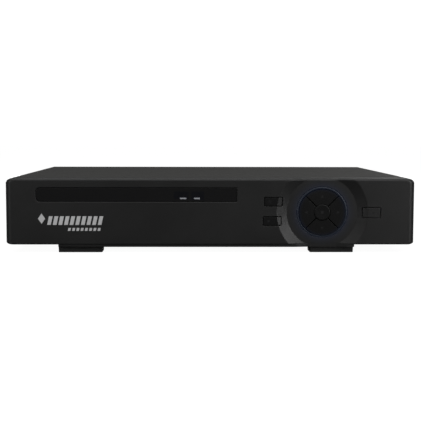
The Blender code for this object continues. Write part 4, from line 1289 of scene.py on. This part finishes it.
def add_video_jacks():
    """Bayonet barrels with a white insulator and a gilt contact."""
    for number in range(1, 5):
        low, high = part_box(f"bnc_jack_{number}")
        x, z = (low.x + high.x) / 2, (low.z + high.z) / 2
        tip = Vector((x, high.y, z))
        barrel = [
            (0, -22), (4.7, -22), (4.7, -15.2), (6.1, -15.2), (6.1, -12.0), (5.75, -11.3),
            (4.95, -11.3), (4.95, -10.9), (4.75, -10.7), (4.75, -6.3), (4.5, -6.1), (4.5, -3.0),
            (4.75, -2.7), (4.75, -0.5), (4.5, -0.1), (4.3, 0), (4.1, -0.15), (4.05, -0.5),
            (4.05, -9.9), (0, -9.9),
        ]
        insulator = [
            (1.0, -9.8), (2.42, -9.8), (2.42, -1.4), (2.2, -1.1), (1.15, -1.1), (1.0, -1.3),
        ]
        contact = [
            (0, -9.7), (0.95, -9.7), (0.95, -1.6), (0.8, -1.4), (0.6, -1.4), (0.45, -1.6),
            (0.45, -6), (0, -6),
        ]
        shells = [
            lathe(in_mm(rows), tip, Y, finish, steps)
            for rows, finish, steps in (
                (barrel, NICKEL, 64), (insulator, WHITE, 40), (contact, GOLD, 24)
            )
        ]
        lug = [(0, 4.2), (1.0, 4.2), (1.0, 5.65), (0.8, 5.88), (0, 5.88)]
        for side in (-1, 1):
            shells.append(lathe(in_mm(lug), tip - 4.5 * MM * Y, side * X, NICKEL, 20))
        name = f"bnc_jack_{number}"
        piece(f"{name}_barrel", "case", shells, nodes=[name], sharp=40)


def add_audio_jacks():
    low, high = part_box("audio_jacks")
    x = (low.x + high.x) / 2
    shells = [block(low, (high.x, JACK_BODY_END, high.z), PLASTIC, 0.4 * MM)]
    for z, finish in ((20.5 * MM, RED), (34.5 * MM, WHITE)):
        tip = Vector((x, high.y, z))
        barrel = [
            (0, -11.2), (4.15, -11.2), (4.15, -0.35), (3.95, 0), (3.65, 0), (3.5, -0.2),
            (3.5, -7.5), (0, -7.5),
        ]
        filling = [
            (1.7, -7.4), (3.48, -7.4), (3.48, -0.9), (3.3, -0.7), (1.95, -0.7), (1.7, -0.95)
        ]
        collar = [(4.2, -8.9), (5.1, -8.9), (5.1, -8.3), (4.9, -8.0), (4.2, -8.0)]
        for rows, look in ((barrel, NICKEL), (filling, finish), (collar, finish)):
            shells.append(lathe(in_mm(rows), tip, Y, look, 48))
    piece("phono_jacks", "case", shells, nodes=["audio_jacks"], sharp=40)


def d_outline(cu, cv, grow, radius):
    """The D shape of a screen socket: wide at the top, narrow at the bottom."""
    top, bottom, tall = 8.1 * MM + grow, 6.7 * MM + grow, 4.0 * MM + grow
    half_widths = ((-bottom, -tall), (bottom, -tall), (top, tall), (-top, tall))
    return filleted([(cu + u, cv + v) for u, v in half_widths], radius + grow)


def add_screen_sockets():
    low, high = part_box("vga_port")
    cu, cv = -(low.x + high.x) / 2, 20.5 * MM
    pins = [
        (cu + ((column - 2) * 2.29 + (0.57 if row else -0.57)) * MM, cv + row * 1.98 * MM)
        for row in (-1, 0, 1)
        for column in range(5)
    ]
    wall, body, corner = 0.45 * MM, 1.35 * MM, 1.5 * MM
    shell_outline, shell_bore = d_outline(cu, cv, 0, corner), d_outline(cu, cv, -wall, corner)
    shells = [
        block(low, (high.x, JACK_BODY_END, high.z), NICKEL, 0.3 * MM),
        tube(shell_outline, [shell_bore], -5.5 * MM, body, NICKEL),
        tube(
            d_outline(cu, cv, -wall - 0.02 * MM, corner),
            [rounded(circle(u, v, 0.5 * MM), 0.0, 3) for u, v in pins],
            -4.9 * MM,
            body,
            BLUE,
        ),
    ]
    hexagon = [
        (0, -1.5), (1.25, -1.5), (1.25, 0.0), (2.6, 0.0), (2.6, 4.3), (2.3, 4.7), (1.3, 4.7),
        (1.15, 4.4), (1.15, 1.5), (0, 1.5),
    ]
    for side in (-1, 1):
        seat = Vector((-cu + side * 12.5 * MM, BACK + 0.3 * MM, cv))
        shells.append(lathe(in_mm(hexagon), seat, Y, NICKEL, 6))
    piece("screen_socket", "case", shells, nodes=["vga_port"], sharp=35)

    low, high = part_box("hdmi_port")
    cu, cv = -(low.x + high.x) / 2, (low.z + high.z) / 2
    outer, wall = [], 0.5 * MM
    half_u, half_v = (high.x - low.x) / 2, (high.z - low.z) / 2
    for inset in (0.0, wall):
        u, v, cut = half_u - inset, half_v - inset, 1.6 * MM
        corners = [(-u + cut, -v), (u - cut, -v), (u, -v + cut), (u, v), (-u, v), (-u, -v + cut)]
        outer.append(filleted([(cu + a, cv + b) for a, b in corners], 0.5 * MM))
    shells = [
        tube(outer[0], [outer[1]], -(high.y - BACK), 9.2 * MM, NICKEL),
        tube(outer[0], [], 9.1 * MM, BACK - low.y, NICKEL),
        block(
            (-cu - 5.5 * MM, BACK - 9.3 * MM, cv + 0.1 * MM),
            (-cu + 5.5 * MM, BACK - 0.8 * MM, cv + 1.2 * MM),
            PLASTIC,
            0.15 * MM,
        ),
    ]
    shells += contacts(cu, 9, 1.0, 0.2, (8.5, 1.2), (cv + 0.04 * MM, cv + 0.14 * MM), 0.02)
    piece("picture_socket", "case", shells, nodes=["hdmi_port"], sharp=35)


def add_data_sockets():
    low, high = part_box("lan_port")
    cu, foot = -(low.x + high.x) / 2, low.z
    outer = oblong(cu, (low.z + high.z) / 2, high.x - low.x, high.z - low.z, 0.5 * MM)

    def plug_space(inset):
        wide, notch = 5.9 * MM - inset, 3.0 * MM - inset
        rows = (foot + 1.8 * MM + inset, foot + 4.0 * MM + inset, foot + 11.5 * MM - inset)
        right = [(notch, rows[0]), (notch, rows[1]), (wide, rows[1]), (wide, rows[2])]
        return [
            (cu - notch, rows[0]),
            *[(cu + u, v) for u, v in right],
            *[(cu - u, v) for u, v in right[:0:-1]],
        ]

    shells = [
        tube(outer, [plug_space(0)], -1.0 * MM, 11.0 * MM, NICKEL),
        tube(plug_space(0.01 * MM), [plug_space(0.25 * MM)], -0.75 * MM, 10.95 * MM, PLASTIC),
        tube(outer, [], 10.9 * MM, BACK - low.y, PLASTIC),
    ]
    shells += contacts(cu, 8, 1.02, 0.22, (10.9, 2.0), (foot + 10.1 * MM, foot + 10.5 * MM), 0.08)
    for side, finish in ((-1, LENS), (1, YELLOW)):
        lamp_u = cu + side * 5.2 * MM
        shape = oblong(lamp_u, foot + 2.3 * MM, 2.6 * MM, 1.6 * MM, 0.3 * MM)
        shells.append(tube(shape, [], -1.12 * MM, 0.5 * MM, finish))
    piece("network_socket", "case", shells, nodes=["lan_port"], sharp=35)

    low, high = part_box("usb_port")
    cu, foot = -(low.x + high.x) / 2, low.z
    outer = oblong(cu, (low.z + high.z) / 2, high.x - low.x, high.z - low.z, 0.6 * MM)
    levels = (foot + 4.2 * MM, foot + 11.8 * MM)
    holes = [oblong(cu, level, 12.4 * MM, 5.2 * MM, 0.4 * MM) for level in levels]
    shells = [
        tube(outer, holes, -(high.y - BACK), 12.0 * MM, NICKEL),
        tube(outer, [], 11.9 * MM, BACK - low.y, NICKEL),
    ]
    for level in levels:
        shells.append(
            block(
                (-cu - 5.5 * MM, BACK - 12.2 * MM, level + 0.3 * MM),
                (-cu + 5.5 * MM, BACK - 0.5 * MM, level + 1.9 * MM),
                PLASTIC,
                0.15 * MM,
            )
        )
        low_and_high = (level + 0.22 * MM, level + 0.36 * MM)
        shells += contacts(cu, 4, 2.3, 0.5, (10.0, 1.2), low_and_high, 0.03)
    piece("bus_sockets", "case", shells, nodes=["usb_port"], sharp=35)


def add_power_socket():
    low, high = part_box("power_jack")
    cu, cv = -(low.x + high.x) / 2, low.z + 6.4 * MM
    outer = oblong(cu, (low.z + high.z) / 2, high.x - low.x, high.z - low.z, 0.5 * MM)
    bore = rounded(circle(cu, cv, 3.2 * MM), 0.0, 12)
    pin = [(0, -9.4), (1.08, -9.4), (1.08, -1.0), (0.85, -0.7), (0, -0.7)]
    sleeve = [(3.0, -9.0), (3.18, -9.0), (3.18, -0.6), (3.0, -0.6)]
    centre = Vector((-cu, BACK, cv))
    shells = [
        tube(outer, [bore], -(high.y - BACK), 9.0 * MM, PLASTIC),
        tube(outer, [], 8.9 * MM, BACK - low.y, PLASTIC),
        lathe(in_mm(pin), centre, Y, NICKEL, 24),
        lathe(in_mm(sleeve), centre, Y, NICKEL, 48),
    ]
    piece("power_socket", "case", shells, nodes=["power_jack"], sharp=35)


add_video_jacks()
add_audio_jacks()
add_screen_sockets()
add_data_sockets()
add_power_socket()

# ---------------------------------------------------------------- finishes of the kept CAD pieces

MAIN_BOARD_TOP = 13.0 * MM
KEPT = {
    "base_tray": POWDER,
    "front_board": PLASTIC,
    "main_board": circuit_board("main_board_green", MAIN_BOARD_TOP),
    "heat_sink": ANODISED,
    "backup_battery": NICKEL,
    "buzzer": PLASTIC,
    "bnc_housing": PLASTIC,
    "fan_frame": PLASTIC,
    "fan_rotor": PLASTIC,
    "hard_drive": CASTING,
    "hard_drive_lid": LID,
    "disk_platters": PLATTER,
    "head_arm": ZINC,
    "sata_data_cable": RED,
    "sata_power_cable": BLACK,
    "front_ribbon": GREY,
    "fan_lead": BLACK,
    "power_led": LENS,
    "record_led": LENS,
    "ir_receiver": FILTER,
}
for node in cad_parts:
    if node.startswith("switch_"):
        KEPT[node] = SWITCH
for node, finish in KEPT.items():
    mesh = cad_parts[node].data
    mesh.materials.clear()
    mesh.materials.append(finish)
